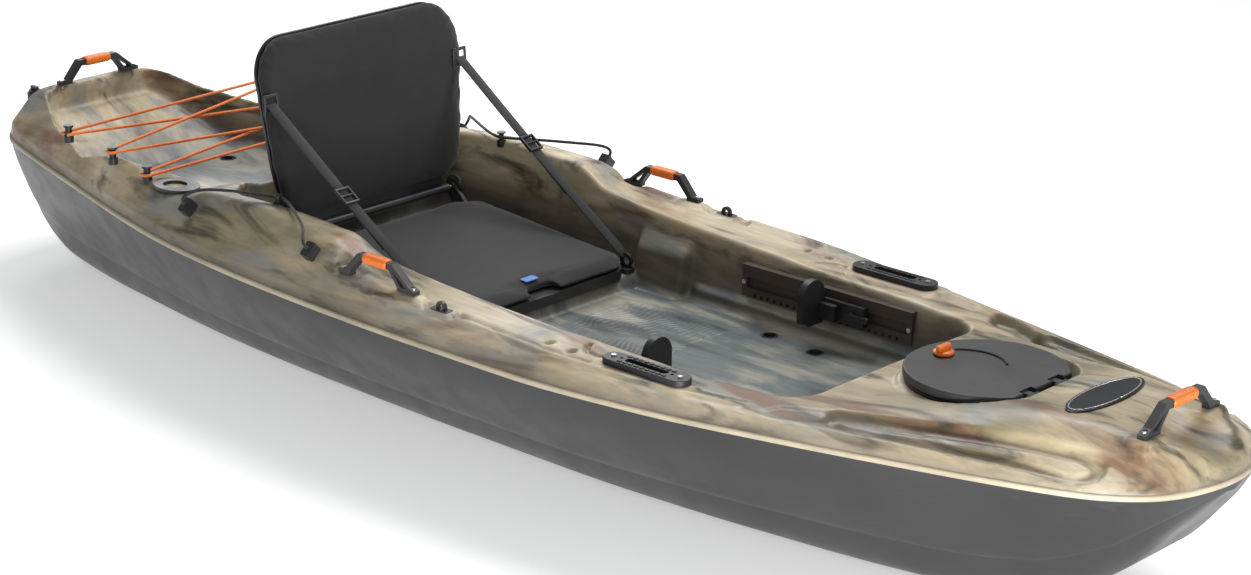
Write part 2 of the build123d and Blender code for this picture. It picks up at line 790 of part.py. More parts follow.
def back_profile(rear_face, front_face, foot):
    """Side outline of a layer of the seat back, between two distances ahead of the hinge line."""
    lean = math.radians(recline)
    top_lean = math.radians(recline + bend)
    up = (-math.sin(lean), math.cos(lean))
    top_up = (-math.sin(top_lean), math.cos(top_lean))
    ahead = (math.cos(lean), math.sin(lean))
    top_ahead = (math.cos(top_lean), math.sin(top_lean))
    knee = (hinge_x + bend_height * up[0], hinge_z + bend_height * up[1])
    tip_length = back_height - bend_height
    tip = (knee[0] + tip_length * top_up[0], knee[1] + tip_length * top_up[1])
    base = (hinge_x + foot * up[0], hinge_z + foot * up[1])
    faces_at = []
    for distance in (rear_face, front_face):
        mid = ((ahead[0] + top_ahead[0]) / 2, (ahead[1] + top_ahead[1]) / 2)
        faces_at.append([(base[0] + distance * ahead[0], base[1] + distance * ahead[1]),
                         (knee[0] + distance * mid[0], knee[1] + distance * mid[1]),
                         (tip[0] + distance * top_ahead[0], tip[1] + distance * top_ahead[1])])
    return faces_at[0] + faces_at[1][::-1]


back_outline = [(hinge_half_width - 6, hinge_z - 20), (hinge_half_width - 6, hinge_z + 26),
                (238, hinge_z + 52), (254, hinge_z + 130), (268, hinge_z + 262), (268, back_top_z + 20)]
back_layers = {}
for name, rear_face, front_face, foot, shrink in (("panel", -12, -6.2, 0, 8), ("cushion", -6, 12, 22, 0)):
    with BuildPart() as layer:
        with BuildSketch(Plane.XZ):
            with BuildLine():
                Polyline(*back_profile(rear_face, front_face, foot), close=True)
            make_face()
        extrude(amount=300, both=True)
        with BuildSketch(Plane.YZ.offset(hinge_x - 150)):
            with BuildLine():
                outline = [(y - shrink, z) for y, z in back_outline]
                Polyline(*outline, *[(-y, z) for y, z in reversed(outline)], close=True)
            make_face()
            with Locations((0, back_top_z - 300 - shrink)):
                Rectangle(700, 600, mode=Mode.INTERSECT)
            fillet(vertices().group_by(Axis.Y)[-1], 88 - shrink)
        extrude(amount=300, mode=Mode.INTERSECT)
    back_layers[name] = layer.part

with BuildPart() as seat_back_panel:
    add(back_layers["panel"])
    with BuildSketch(Plane((hinge_x, 0, hinge_z), x_dir=(1, 0, 0), z_dir=(0, -1, 0))):
        Circle(9)
    extrude(amount=hinge_half_width - 6, both=True)
    with BuildSketch(Plane((hinge_x, 0, hinge_z), x_dir=(1, 0, 0), z_dir=(0, -1, 0))):
        Circle(4.06)
    extrude(amount=300, both=True, mode=Mode.SUBTRACT)
with BuildPart() as seat_back_cushion:
    add(back_layers["cushion"])

with BuildPart() as seat_hinge_rod:
    with BuildSketch(Plane((hinge_x, 0, hinge_z), x_dir=(1, 0, 0), z_dir=(0, -1, 0))):
        Circle(4)
    extrude(amount=hinge_half_width + 12, both=True)

# ---------------------------------------------------------------- seat straps
strap_top = Vector(-486, 250, 535)
strap_foot = Vector(-34, 243, 233)
buckle_share = 0.42     # how far down the strap the buckle sits
strap_width = 24
strap_thickness = 2.4
strap_parts = []
buckle_parts = []
for side, name in ((-1, "starboard"), (1, "port")):
    top = Vector(strap_top.X, side * strap_top.Y, strap_top.Z)
    foot = Vector(strap_foot.X, side * strap_foot.Y, strap_foot.Z)
    run = foot - top
    strap_plane = Plane(top, x_dir=run.cross(Vector(0, 1, 0)), z_dir=run)
    with BuildPart() as strap:
        with BuildSketch(strap_plane):
            Rectangle(strap_width, strap_thickness)
        extrude(amount=run.length)
    strap.part.label = name + "_seat_strap"
    strap_parts.append(strap.part)
    with BuildPart() as buckle:
        with BuildSketch(strap_plane.offset(run.length * buckle_share)):
            RectangleRounded(32, 12, 3)
            Rectangle(strap_width + 0.6, strap_thickness + 0.6, mode=Mode.SUBTRACT)
        extrude(amount=17, both=True)
    buckle.part.label = name + "_strap_buckle"
    buckle_parts.append(buckle.part)

with BuildPart() as strap_loops:
    for side in (-1, 1):
        with BuildSketch(Plane.XY.offset(seat_low)):
            with Locations((-36, side * 236)):
                RectangleRounded(46, 26, 8)
        extrude(amount=8)
        with BuildSketch(Plane((-34, side * 243, 226), x_dir=(1, 0, 0), z_dir=(0, -1, 0))):
            Circle(15)
            Circle(9, mode=Mode.SUBTRACT)
        extrude(amount=2.5, both=True)

# ---------------------------------------------------------------- cords
lacing_d = 6
keeper_d = 6
lacing_route = [
    (-1084.6, -300.6, 379), (-1084.6, -288, 379), (-1084.6, 288, 387), (-1084.6, 300.6, 387),
    (-1063.4, 300.6, 387), (-1063.4, 288, 387), (-937.6, -294, 373), (-937.6, -306.6, 373),
    (-916.4, -306.6, 373), (-916.4, -294, 373), (-816.6, 306, 362), (-816.6, 318.6, 362),
    (-795.4, 318.6, 362), (-795.4, 306, 362), (-795.4, -306, 354), (-795.4, -318.6, 354),
    (-816.6, -318.6, 354), (-816.6, -306, 354), (-916.4, 294, 365), (-916.4, 306.6, 365),
    (-937.6, 306.6, 365), (-937.6, 294, 365), (-1063.4, -288, 379), (-1063.4, -300.6, 379),
]
keeper_route = [
    (-612, 375.4, 350.4), (-611, 385, 361), (-601, 380, 374), (-580, 360, 384), (-530, 331, 386),
    (-478, 306, 384), (-438, 291, 384), (-422, 291, 384), (-385, 309, 385), (-335, 340, 385),
    (-285, 370, 384), (-254, 394, 382), (-238, 410, 376), (-233, 414, 366), (-232, 405.4, 357.4),
]


def bend_radii(points):
    """The tangent arc that each corner's two runs allow: 0.45 of the shorter run."""
    path = [Vector(*point) for point in points]
    radii = []
    for before, corner, after in zip(path, path[1:], path[2:]):
        turn = math.radians((corner - before).get_angle(after - corner))
        shorter = min((corner - before).length, (after - corner).length)
        radii.append(0.45 * shorter / math.tan(turn / 2))
    return radii


cord_parts = []
routes = [("rear_lacing_cord", lacing_route, lacing_d)]
for side, name in ((-1, "starboard_paddle_cord"), (1, "port_paddle_cord")):
    routes.append((name, [(x, side * y, z) for x, y, z in keeper_route], keeper_d))
for name, route, diameter in routes:
    radii = bend_radii(route)
    with BuildPart() as cord:
        with BuildLine() as path:
            FilletPolyline(*route, radius=radii)
        centre_line = path.wires()[0]
        with BuildSketch(Plane(centre_line @ 0, z_dir=centre_line % 0)):
            Circle(diameter / 2)
        sweep()
    section = math.pi * diameter ** 2 / 4
    print(name, "radii", [round(r) for r in radii], "length", round(centre_line.length),
          "volume over section", round(cord.part.volume / section))
    cord.part.label = name
    cord_parts.append(cord.part)

# ---------------------------------------------------------------- write every piece
single_pieces = {
    "hull_shell": hull_shell, "scupper_tubes": scupper_tubes,
    "seat_shelf_foam": seat_shelf_foam, "handle_screws": handle_screws, "hatch_rim": hatch_rim,
    "hatch_gasket": hatch_gasket, "hatch_lid": hatch_lid, "hatch_hinge_pins": hatch_hinge_pins,
    "hatch_knob": hatch_knob, "gear_plate_screws": gear_plate_screws, "foot_rail_screws": foot_rail_screws,
    "lacing_eyes": lacing_eyes, "pad_eyes": pad_eyes, "keeper_anchors": keeper_anchors,
    "keeper_hooks": keeper_hooks, "bow_badge": bow_badge, "drain_socket": drain_socket,
    "drain_plug": drain_plug, "seat_pan": seat_pan, "seat_cushion": seat_cushion, "seat_tab": seat_tab,
    "seat_back_panel": seat_back_panel, "seat_back_cushion": seat_back_cushion,
    "seat_hinge_rod": seat_hinge_rod, "strap_loops": strap_loops,
}
for name, piece in single_pieces.items():
    piece.part.label = name
    export_step(piece.part, "parts/" + name + ".step")
groups = (deck_parts, foam_parts, handle_parts, grip_parts, gear_plate_parts, rail_parts,
          peg_parts, latch_parts, rod_parts, strap_parts, buckle_parts, cord_parts)
for group in groups:
    for piece in group:
        export_step(piece, "parts/" + piece.label + ".step")
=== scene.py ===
import math

import bmesh
import bpy
import numpy as np
from mathutils import Matrix, Vector


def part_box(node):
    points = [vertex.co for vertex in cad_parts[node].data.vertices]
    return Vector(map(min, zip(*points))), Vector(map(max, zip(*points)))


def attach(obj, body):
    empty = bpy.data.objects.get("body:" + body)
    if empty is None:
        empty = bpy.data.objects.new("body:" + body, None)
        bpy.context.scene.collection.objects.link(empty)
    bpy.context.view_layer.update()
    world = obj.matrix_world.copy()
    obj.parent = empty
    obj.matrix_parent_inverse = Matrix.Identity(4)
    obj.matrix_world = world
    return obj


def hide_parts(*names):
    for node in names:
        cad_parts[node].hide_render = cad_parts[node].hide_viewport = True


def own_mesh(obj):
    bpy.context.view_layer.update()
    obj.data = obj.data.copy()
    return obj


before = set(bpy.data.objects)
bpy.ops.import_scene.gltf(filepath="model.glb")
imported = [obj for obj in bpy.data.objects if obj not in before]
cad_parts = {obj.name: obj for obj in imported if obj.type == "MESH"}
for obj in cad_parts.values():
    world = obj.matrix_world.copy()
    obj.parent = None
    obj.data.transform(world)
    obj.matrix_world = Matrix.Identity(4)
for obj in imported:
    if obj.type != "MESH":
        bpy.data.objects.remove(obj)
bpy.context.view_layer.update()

# A sit-on-top fishing kayak. Metres; +X bow, +Y port, +Z up; the origin is under the keel at mid-length.

# ---------------------------------------------------------------- camera
CAMERA_PLACE = Vector((3.741, -3.941, 2.119))
CAMERA_AZIMUTH = math.radians(42.07)
CAMERA_ELEVATION = math.radians(19.08)
CAMERA_ROLL = math.radians(0.78)
SENSOR_WIDTH = 36.0
FOCAL_IN_WIDTHS = 3061.8 / 1251


def make_camera():
    data = bpy.data.cameras.new("camera")
    data.sensor_width = SENSOR_WIDTH
    data.lens = FOCAL_IN_WIDTHS * SENSOR_WIDTH
    data.clip_end = 60
    data.dof.use_dof = False
    camera = bpy.data.objects.new("camera", data)
    bpy.context.collection.objects.link(camera)
    back = Vector((math.sin(CAMERA_AZIMUTH) * math.cos(CAMERA_ELEVATION),
                   -math.cos(CAMERA_AZIMUTH) * math.cos(CAMERA_ELEVATION), math.sin(CAMERA_ELEVATION)))
    right = (-back).cross(Vector((0, 0, 1))).normalized()
    up = right.cross(-back).normalized()
    cos_roll, sin_roll = math.cos(CAMERA_ROLL), math.sin(CAMERA_ROLL)
    rolled_right = cos_roll * right + sin_roll * up
    rolled_up = -sin_roll * right + cos_roll * up
    turn = Matrix((rolled_right, rolled_up, back)).transposed()
    camera.matrix_world = Matrix.Translation(CAMERA_PLACE) @ turn.to_4x4()
    bpy.context.scene.camera = camera


make_camera()


# ---------------------------------------------------------------- cords
CORD_D = 0.006
# the lacing goes round three hooks on each side; straight runs have a point 36 mm from each hook
LACING_ROUTE = [
    (-1.0846, -0.3006, 0.379), (-1.0846, -0.288, 0.379), (-1.0846, -0.252, 0.3795), (-1.0846, 0.252, 0.3865),
    (-1.0846, 0.288, 0.387), (-1.0846, 0.3006, 0.387), (-1.0634, 0.3006, 0.387), (-1.0634, 0.288, 0.387),
    (-1.0558, 0.2528, 0.3862), (-0.9452, -0.2588, 0.3738), (-0.9376, -0.294, 0.373), (-0.9376, -0.3066, 0.373),
    (-0.9164, -0.3066, 0.373), (-0.9164, -0.294, 0.373), (-0.9105, -0.2586, 0.3724), (-0.8225, 0.2706, 0.3626),
    (-0.8166, 0.306, 0.362), (-0.8166, 0.3186, 0.362), (-0.7954, 0.3186, 0.362), (-0.7954, 0.306, 0.362),
    (-0.7954, 0.270, 0.3615), (-0.7954, -0.270, 0.3545), (-0.7954, -0.306, 0.354), (-0.7954, -0.3186, 0.354),
    (-0.8166, -0.3186, 0.354), (-0.8166, -0.306, 0.354), (-0.8225, -0.2706, 0.3546), (-0.9105, 0.2586, 0.3644),
    (-0.9164, 0.294, 0.365), (-0.9164, 0.3066, 0.365), (-0.9376, 0.3066, 0.365), (-0.9376, 0.294, 0.365),
    (-0.9452, 0.2588, 0.3658), (-1.0558, -0.2528, 0.3782), (-1.0634, -0.288, 0.379), (-1.0634, -0.3006, 0.379),
]
PADDLE_ROUTE = [
    (-0.612, 0.3754, 0.3504), (-0.611, 0.385, 0.361), (-0.601, 0.380, 0.374), (-0.580, 0.360, 0.384),
    (-0.530, 0.331, 0.386), (-0.478, 0.306, 0.384), (-0.438, 0.291, 0.384), (-0.422, 0.291, 0.384),
    (-0.385, 0.309, 0.385), (-0.335, 0.340, 0.385), (-0.285, 0.370, 0.384), (-0.254, 0.394, 0.382),
    (-0.238, 0.410, 0.376), (-0.233, 0.414, 0.366), (-0.232, 0.4054, 0.3574),
]


def add_cord(name, route, node):
    curve = bpy.data.curves.new(name, "CURVE")
    curve.dimensions = "3D"
    spline = curve.splines.new("NURBS")
    spline.points.add(len(route) - 1)
    for point, place in zip(spline.points, route):
        point.co = (*place, 1)
        point.radius = CORD_D / 2
    spline.order_u = 3
    spline.use_endpoint_u = True
    spline.resolution_u = 8
    curve.bevel_depth = 1  # the points' radius sets the thickness
    curve.bevel_resolution = 4
    curve.use_fill_caps = True
    cord = bpy.data.objects.new(name, curve)
    bpy.context.collection.objects.link(cord)
    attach(cord, "hull")
    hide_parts(node)
    return cord


lacing = add_cord("rear_lacing", LACING_ROUTE, "rear_lacing_cord")
paddle_cords = []
for side, side_name in ((-1, "starboard"), (1, "port")):
    side_route = [(x, side * y, z) for x, y, z in PADDLE_ROUTE]
    paddle_cords.append(add_cord(side_name + "_paddle_bungee", side_route,
                                 side_name + "_paddle_cord"))

# ---------------------------------------------------------------- the boat's lines
# stations: x, half width at the seam, keel height, gunwale height, centreline deck height
STATIONS = np.array([
    (-1.475, 0.118, 0.190, 0.336, 0.340), (-1.440, 0.165, 0.112, 0.352, 0.354),
    (-1.390, 0.196, 0.052, 0.374, 0.378), (-1.280, 0.230, 0.012, 0.386, 0.390),
    (-1.050, 0.292, 0.0, 0.369, 0.371), (-0.760, 0.366, 0.0, 0.343, 0.344),
    (-0.670, 0.383, 0.0, 0.349, 0.350), (-0.590, 0.395, 0.0, 0.367, 0.368),
    (-0.400, 0.414, 0.0, 0.376, 0.377), (-0.220, 0.424, 0.0, 0.369, 0.370),
    (-0.140, 0.427, 0.0, 0.337, 0.338), (0.0, 0.430, 0.0, 0.321, 0.322),
    (0.300, 0.430, 0.0, 0.306, 0.307), (0.560, 0.405, 0.0, 0.298, 0.300),
    (0.800, 0.358, 0.0, 0.296, 0.302), (1.050, 0.298, 0.006, 0.298, 0.332),
    (1.220, 0.254, 0.036, 0.300, 0.352), (1.340, 0.214, 0.108, 0.300, 0.347),
    (1.420, 0.160, 0.196, 0.298, 0.333), (1.475, 0.062, 0.262, 0.294, 0.310)])
SEAM_HEIGHT = 0.258
SEAM_RISE = 0.020
HALF_LENGTH = 1.475


def seam_z(x):
    return SEAM_HEIGHT + SEAM_RISE * (x / HALF_LENGTH) ** 2


def monotone(x, knots, values):
    """Monotone cubic interpolation of values at knots."""
    step = np.diff(knots)
    slope = np.diff(values) / step
    tangent = np.zeros_like(values)
    tangent[0], tangent[-1] = slope[0], slope[-1]
    inner = slope[:-1] * slope[1:]
    mean = 2 * slope[:-1] * slope[1:] / np.where(inner > 0, slope[:-1] + slope[1:], 1)
    tangent[1:-1] = np.where(inner > 0, mean, 0)
    place = np.clip(np.searchsorted(knots, x) - 1, 0, len(step) - 1)
    t = np.clip((x - knots[place]) / step[place], 0, 1)
    h = step[place]
    return (values[place] * (1 + 2 * t) * (1 - t) ** 2 + values[place + 1] * t * t * (3 - 2 * t)
            + h * tangent[place] * t * (1 - t) ** 2 - h * tangent[place + 1] * t * t * (1 - t))


def line(x, column):
    return monotone(np.asarray(x, float), STATIONS[:, 0], STATIONS[:, column])


def smooth(t):
    t = np.clip(t, 0, 1)
    return t * t * (3 - 2 * t)


def round_both(a, b, r):
    """Intersection of two solids' fields with a fillet of radius r."""
    return np.minimum(-r, np.maximum(a, b)) + np.hypot(np.maximum(a + r, 0), np.maximum(b + r, 0))


def outline_field(points, gx, gy):
    """Signed distance on the plan grid to a closed outline, negative inside."""
    best = np.full(gx.shape, 9.0)
    inside = np.zeros(gx.shape, bool)
    for (ax, ay), (bx, by) in zip(points, points[1:] + points[:1]):
        ex, ey = bx - ax, by - ay
        t = np.clip(((gx - ax) * ex + (gy - ay) * ey) / (ex * ex + ey * ey), 0, 1)
        best = np.minimum(best, (gx - ax - t * ex) ** 2 + (gy - ay - t * ey) ** 2)
        crosses = (ay > gy) != (by > gy)
        if ay != by:
            inside ^= crosses & (gx < ax + (gy - ay) / (by - ay) * ex)
    return np.where(inside, -1, 1) * np.sqrt(best)


def rounded(points, r, gx, gy):
    """Field of an outline whose outward corners have radius r; the points are of the full outline."""
    area = sum(a[0] * b[1] - b[0] * a[1] for a, b in zip(points, points[1:] + points[:1]))
    turn = 1 if area > 0 else -1
    inset = []
    for before, here, after in zip(points[-1:] + points[:-1], points, points[1:] + points[:1]):
        one = Vector(here) - Vector(before)
        two = Vector(after) - Vector(here)
        n1 = Vector((-one.y, one.x)).normalized() * turn
        n2 = Vector((-two.y, two.x)).normalized() * turn
        middle = (n1 + n2).normalized()
        inset.append(tuple(Vector(here) + middle * (r / max(0.3, middle.dot(n1)))))
    return outline_field(inset, gx, gy) - r


def both_sides(half):
    """A closed plan outline from (x, half width) pairs."""
    return [(x, y) for x, y in half] + [(x, -y) for x, y in reversed(half)]


# plan outline of the seam, with rounded bow and stern
STERN_TIP = [(-1.4775, 0.0), (-1.4765, 0.055), (-1.468, 0.112), (-1.452, 0.148)]
BOW_TIP = [(1.440, 0.136), (1.459, 0.098), (1.471, 0.055), (1.4765, 0.022), (1.4775, 0.0)]
PLAN_X = np.linspace(-1.43, 1.42, 96)
PLAN_HALF = STERN_TIP + list(zip(PLAN_X, line(PLAN_X, 1))) + BOW_TIP
PLAN = PLAN_HALF + [(x, -y) for x, y in reversed(PLAN_HALF[1:-1])]

# fittings that need a flat on the deck: x, y, z, half length, half width
HANDLE_FEET = 0.078
FLATS = []
for side in (-1, 1):
    FLATS.append((0.542, side * 0.341, 0.303, 0.094, 0.022))
    FLATS.append((-0.730, side * 0.297, 0.342, 0.052, 0.040))
    for x in (-0.066 - HANDLE_FEET, -0.066 + HANDLE_FEET):
        FLATS.append((x, side * 0.384, 0.326, 0.022, 0.011))
    FLATS.append((1.368, side * 0.088, 0.346, 0.011, 0.022))
    FLATS.append((-1.345, side * 0.083, 0.390, 0.011, 0.022))
    FLATS.append((0.097, side * 0.386, 0.3165, 0.022, 0.010))
FLATS.append((-1.446, -0.092, 0.352, 0.012, 0.012))

SCUPPERS = [(0.358, 0.208), (0.476, 0.196), (-0.180, 0.170), (-1.080, 0.130)]
COCKPIT = both_sides([(-0.560, 0.262), (0.30, 0.262), (0.36, 0.256), (0.62, 0.252), (0.782, 0.232)])
COCKPIT_FLOOR = 0.180
COCKPIT_SPREAD = 0.194  # how far the sides lean out for each metre up
SHELF = 0.206
TANK = both_sides([(-0.622, 0.224), (-0.820, 0.224), (-0.900, 0.244), (-1.070, 0.240), (-1.230, 0.178),
                   (-1.322, 0.122)])
TANK_FLOOR = 0.237
DECK_CELL = 0.0046


def top_height(gx, gy):
    """Height of the deck's top over the plan grid, before the wells are sunk."""
    width = line(gx, 1)
    gunwale = line(gx, 3)
    crown = line(gx, 4)
    across = np.abs(gy)
    blend = smooth((across - 0.42 * width) / np.maximum(0.93 * width - 0.42 * width, 0.01))
    return crown + (gunwale - crown) * blend


def deck_field():
    """The deck moulding as a field on a grid: negative in the solid."""
    cell = DECK_CELL
    xs = np.arange(-1.49, 1.49 + cell, cell)
    ys = np.arange(-0.446, 0.446 + cell, cell)
    zs = np.arange(0.165, 0.405 + cell, cell)
    gx, gy = np.meshgrid(xs, ys, indexing="ij")
    plan = outline_field(PLAN, gx, gy)
    seam = seam_z(gx)
    top = top_height(gx, gy)
    across = np.abs(gy)

    # bow side panels: a sunk loop round a raised middle
    panel = rounded([(0.872, 0.292), (0.868, 0.250), (0.920, 0.238), (1.300, 0.150), (1.345, 0.152),
                     (1.352, 0.196), (1.320, 0.222), (1.050, 0.278), (0.920, 0.303)], 0.018, gx, across)
    top = top - 0.012 * smooth(-panel / 0.010 + 0.3)
    top = top + 0.009 * smooth((-panel - 0.018) / 0.010)
    # stern side panels
    stern_panel = rounded([(-1.375, 0.215), (-1.35, 0.16), (-1.33, 0.19), (-0.90, 0.325), (-0.845, 0.345),
                           (-0.86, 0.375)], 0.01, gx, across)
    top = top - 0.011 * smooth(-stern_panel / 0.011 + 0.3)
    # scoop under the bow handle
    scoop = np.hypot((gx - 1.385) / 0.075, gy / 0.060)
    top = top - 0.016 * smooth(1.25 - scoop)
    # recess round the pad eyes, and the bead that runs forward from it along the gunwale
    eye_panel = rounded([(0.052, 0.380), (0.085, 0.362), (0.125, 0.366), (0.165, 0.384), (0.125, 0.412),
                         (0.070, 0.412)], 0.006, gx, across)
    top = top - 0.008 * smooth(-eye_panel / 0.009 + 0.4)
    bead_y = line(gx, 1) - 0.034
    bead_end = smooth((gx - 0.11) / 0.03) * smooth((0.76 - gx) / 0.03)
    top = top + 0.006 * bead_end * smooth(1 - np.abs(across - bead_y) / 0.012)
    top = top - 0.005 * bead_end * smooth(1 - np.abs(across - bead_y + 0.021) / 0.010)
    # rod-rest notches
    for notch_x in (0.327, 0.379):
        notch = np.hypot(gx - notch_x, across - 0.352) + 0.35 * np.abs(gx - notch_x)
        top = top - 0.009 * smooth((0.013 - notch) / 0.006)
    # pocket behind the gear plate, deep on the port side only
    pocket = rounded([(0.772, 0.338), (0.792, 0.288), (0.850, 0.262), (1.040, 0.226), (1.058, 0.240),
                      (0.905, 0.292), (0.820, 0.336)], 0.008, gx, across)
    top = top - np.where(gy > 0, 0.020, 0.004) * smooth(-pocket / 0.011 + 0.3)
    # curved slot beside the rod-rest notches
    arc = np.abs(np.hypot(gx - 0.418, across - 0.296) - 0.040) - 0.004
    top = top - 0.006 * smooth(-arc / 0.004 + 0.5) * (across > 0.300)

    # flats under the fittings
    for x, y, z, half_x, half_y in FLATS:
        outside = np.hypot(np.maximum(np.abs(gx - x) - half_x, 0), np.maximum(np.abs(gy - y) - half_y, 0))
        top = top + (z - top) * smooth(1.15 - outside / 0.016)
    # hatch seat
    hatch = np.maximum(np.hypot(gx - 0.995, gy) - 0.140, gx - 1.110)
    relief = np.maximum(np.hypot(gx - 0.995, gy) - 0.154, gx - 1.132)
    top = np.where(hatch < 0.02, top + (0.316 - top) * smooth((0.010 - hatch) / 0.007 + 0.4), top)
    top = np.where(relief < 0.004, np.minimum(top, 0.3165 + np.maximum(relief + 0.006, 0) * 6), top)

    # well floors
    floor = COCKPIT_FLOOR + (SHELF - COCKPIT_FLOOR) * smooth((0.004 - gx) / 0.024)
    cockpit = rounded(COCKPIT, 0.045, gx, gy)
    ramp = TANK_FLOOR + (0.332 - TANK_FLOOR) * np.clip((-1.150 - gx) / 0.172, 0, 1)
    tank = rounded(TANK, 0.025, gx, gy)

    shape = (len(xs), len(ys), len(zs))
    z = zs[None, None, :]

    def lift(field):
        return np.broadcast_to(field[:, :, None], shape)

    h = z - lift(seam)
    side_low = lift(plan) + 0.14 * np.maximum(h, 0)
    side_high = (lift(plan) + 0.14 * 0.030 + 0.72 * (h - 0.030)) / 1.232
    body = round_both(np.maximum(side_low, side_high), (z - lift(top)) * 0.97, 0.014)
    # a ledge low on the cockpit's sides, and a pillar on each side ahead of the seat
    ledge = 0.011 * smooth((0.213 - z) / 0.008) * lift(smooth((gx - 0.11) / 0.03))
    beside = smooth((across - 0.19) / 0.03)
    pillar = lift(0.022 * smooth((gx + 0.035) / 0.02) * smooth((0.115 - gx) / 0.02) * beside)
    pillar_rise = smooth((0.300 - z) / 0.05)
    cockpit_side = lift(cockpit) - COCKPIT_SPREAD * (z - COCKPIT_FLOOR) + ledge + pillar * pillar_rise
    tank_side = lift(tank) - 0.14 * (z - 0.200)
    well = round_both(cockpit_side, lift(floor) - z, 0.016)
    tank_well = round_both(tank_side, (lift(ramp) - z) * 0.92, 0.014)
    top_field = round_both(round_both(body, -well, 0.008), -tank_well, 0.009)
    # scupper holes through the floors
    for x, y in SCUPPERS:
        hole = np.hypot(gx - x, across - y) - 0.0155
        top_field = np.maximum(top_field, -lift(hole))

    # the underside: open below the seam, with a wall round each well
    under = lift(seam) - 0.005 - z
    wall = 1.7 * cell
    plain_side = lift(cockpit) - COCKPIT_SPREAD * (z - COCKPIT_FLOOR)
    plain_floor = lift(np.where(gx > -0.060, COCKPIT_FLOOR, SHELF))
    under = np.minimum(under, np.maximum(plain_side - wall, plain_floor - wall - z))
    under = np.minimum(under, np.maximum(tank_side - wall, lift(ramp) - wall - z))
    return xs, ys, zs, np.maximum(top_field, under)


def skin(xs, ys, zs, field):
    """The zero surface of a field on a grid as vertices and quads, one vertex in each cell it crosses."""
    solid = field < 0
    cells = tuple(n - 1 for n in field.shape)
    total = np.zeros(cells + (3,))
    count = np.zeros(cells)
    grid = (xs, ys, zs)
    corner = np.stack(np.meshgrid(*[g[:-1] for g in grid], indexing="ij"), axis=-1)
    step = xs[1] - xs[0]
    for axis in range(3):
        others = [a for a in range(3) if a != axis]
        for shift in ((0, 0), (0, 1), (1, 0), (1, 1)):
            low = [slice(0, n) for n in cells]
            for a, s in zip(others, shift):
                low[a] = slice(s, cells[a] + s)
            high = list(low)
            high[axis] = slice(1, cells[axis] + 1)
            a, b = field[tuple(low)], field[tuple(high)]
            cross = (a < 0) != (b < 0)
            share = np.where(cross, a / np.where(cross, a - b, 1), 0)
            spot = [np.zeros(cells)] * 3
            spot[axis] = share
            for other, s in zip(others, shift):
                spot[other] = np.full(cells, float(s))
            for k in range(3):
                total[..., k] += np.where(cross, spot[k], 0)
            count += cross
    used = count > 0
    number = np.full(cells, -1)
    number[used] = np.arange(used.sum())
    verts = corner[used] + total[used] / count[used][:, None] * step
    quads = []
    for axis in range(3):
        others = [a for a in range(3) if a != axis]
        inner = [slice(1, cells[a]) if a in others else slice(0, cells[a]) for a in range(3)]
        ahead = list(inner)
        ahead[axis] = slice(1, cells[axis] + 1)
        a, b = solid[tuple(inner)], solid[tuple(ahead)]
        where = np.argwhere(a != b)
        flip = a[a != b]
        for other in others:
            where[:, other] += 1
        ring = []
        for du, dv in ((0, 0), (1, 0), (1, 1), (0, 1)):
            at = where.copy()
            at[:, others[0]] -= du
            at[:, others[1]] -= dv
            ring.append(number[at[:, 0], at[:, 1], at[:, 2]])
        ring = np.stack(ring, axis=1)
        if axis == 1:
            flip = ~flip
        ring[~flip] = ring[~flip][:, ::-1]
        quads.append(ring)
    return verts, np.concatenate(quads)


# ---------------------------------------------------------------- making meshes
def add_piece(name, verts, faces, material, body="hull"):
    mesh = bpy.data.meshes.new(name)
    mesh.from_pydata([tuple(v) for v in verts], [], [tuple(f) for f in faces])
    mesh.validate()
    mesh.polygons.foreach_set("use_smooth", [True] * len(mesh.polygons))
    obj = bpy.data.objects.new(name, mesh)
    bpy.context.collection.objects.link(obj)
    obj.data.materials.append(material)
    if body:
        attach(obj, body)
    return obj


def grid_faces(columns, rows):
    """Quads over a grid whose vertices are numbered along its rows first."""
    return [(i * rows + j, (i + 1) * rows + j, (i + 1) * rows + j + 1, i * rows + j + 1)
            for i in range(columns - 1) for j in range(rows - 1)]


def add_wall(obj, thickness):
    wall = obj.modifiers.new("wall", "SOLIDIFY")
    wall.thickness = thickness
    wall.offset = -1
    apply_modifiers(obj)


def apply_modifiers(obj):
    depsgraph = bpy.context.evaluated_depsgraph_get()
    mesh = bpy.data.meshes.new_from_object(obj.evaluated_get(depsgraph), depsgraph=depsgraph)
    obj.modifiers.clear()
    old = obj.data
    obj.data = mesh
    bpy.data.meshes.remove(old)


def recalculate(obj):
    work = bmesh.new()
    work.from_mesh(obj.data)
    bmesh.ops.remove_doubles(work, verts=work.verts, dist=1e-5)
    bmesh.ops.recalc_face_normals(work, faces=work.faces)
    work.to_mesh(obj.data)
    work.free()


def soften(obj, width):
    """Rounded edges and smooth shading on a CAD node or a made piece, as modifiers."""
    bevel = obj.modifiers.new("edges", "BEVEL")
    bevel.width = width
    bevel.segments = 2
    bevel.limit_method = "ANGLE"
    bevel.angle_limit = math.radians(28)
    weighted = obj.modifiers.new("normals", "WEIGHTED_NORMAL")
    weighted.keep_sharp = True


# ---------------------------------------------------------------- materials
def new_material(name, colour, roughness, specular=0.5):
    material = bpy.data.materials.new(name)
    material.use_nodes = True
    tree = material.node_tree
    shader = tree.nodes["Principled BSDF"]
    shader.inputs["Base Color"].default_value = (*colour, 1)
    shader.inputs["Roughness"].default_value = roughness
    shader.inputs["Specular IOR Level"].default_value = specular
    return material, tree, shader


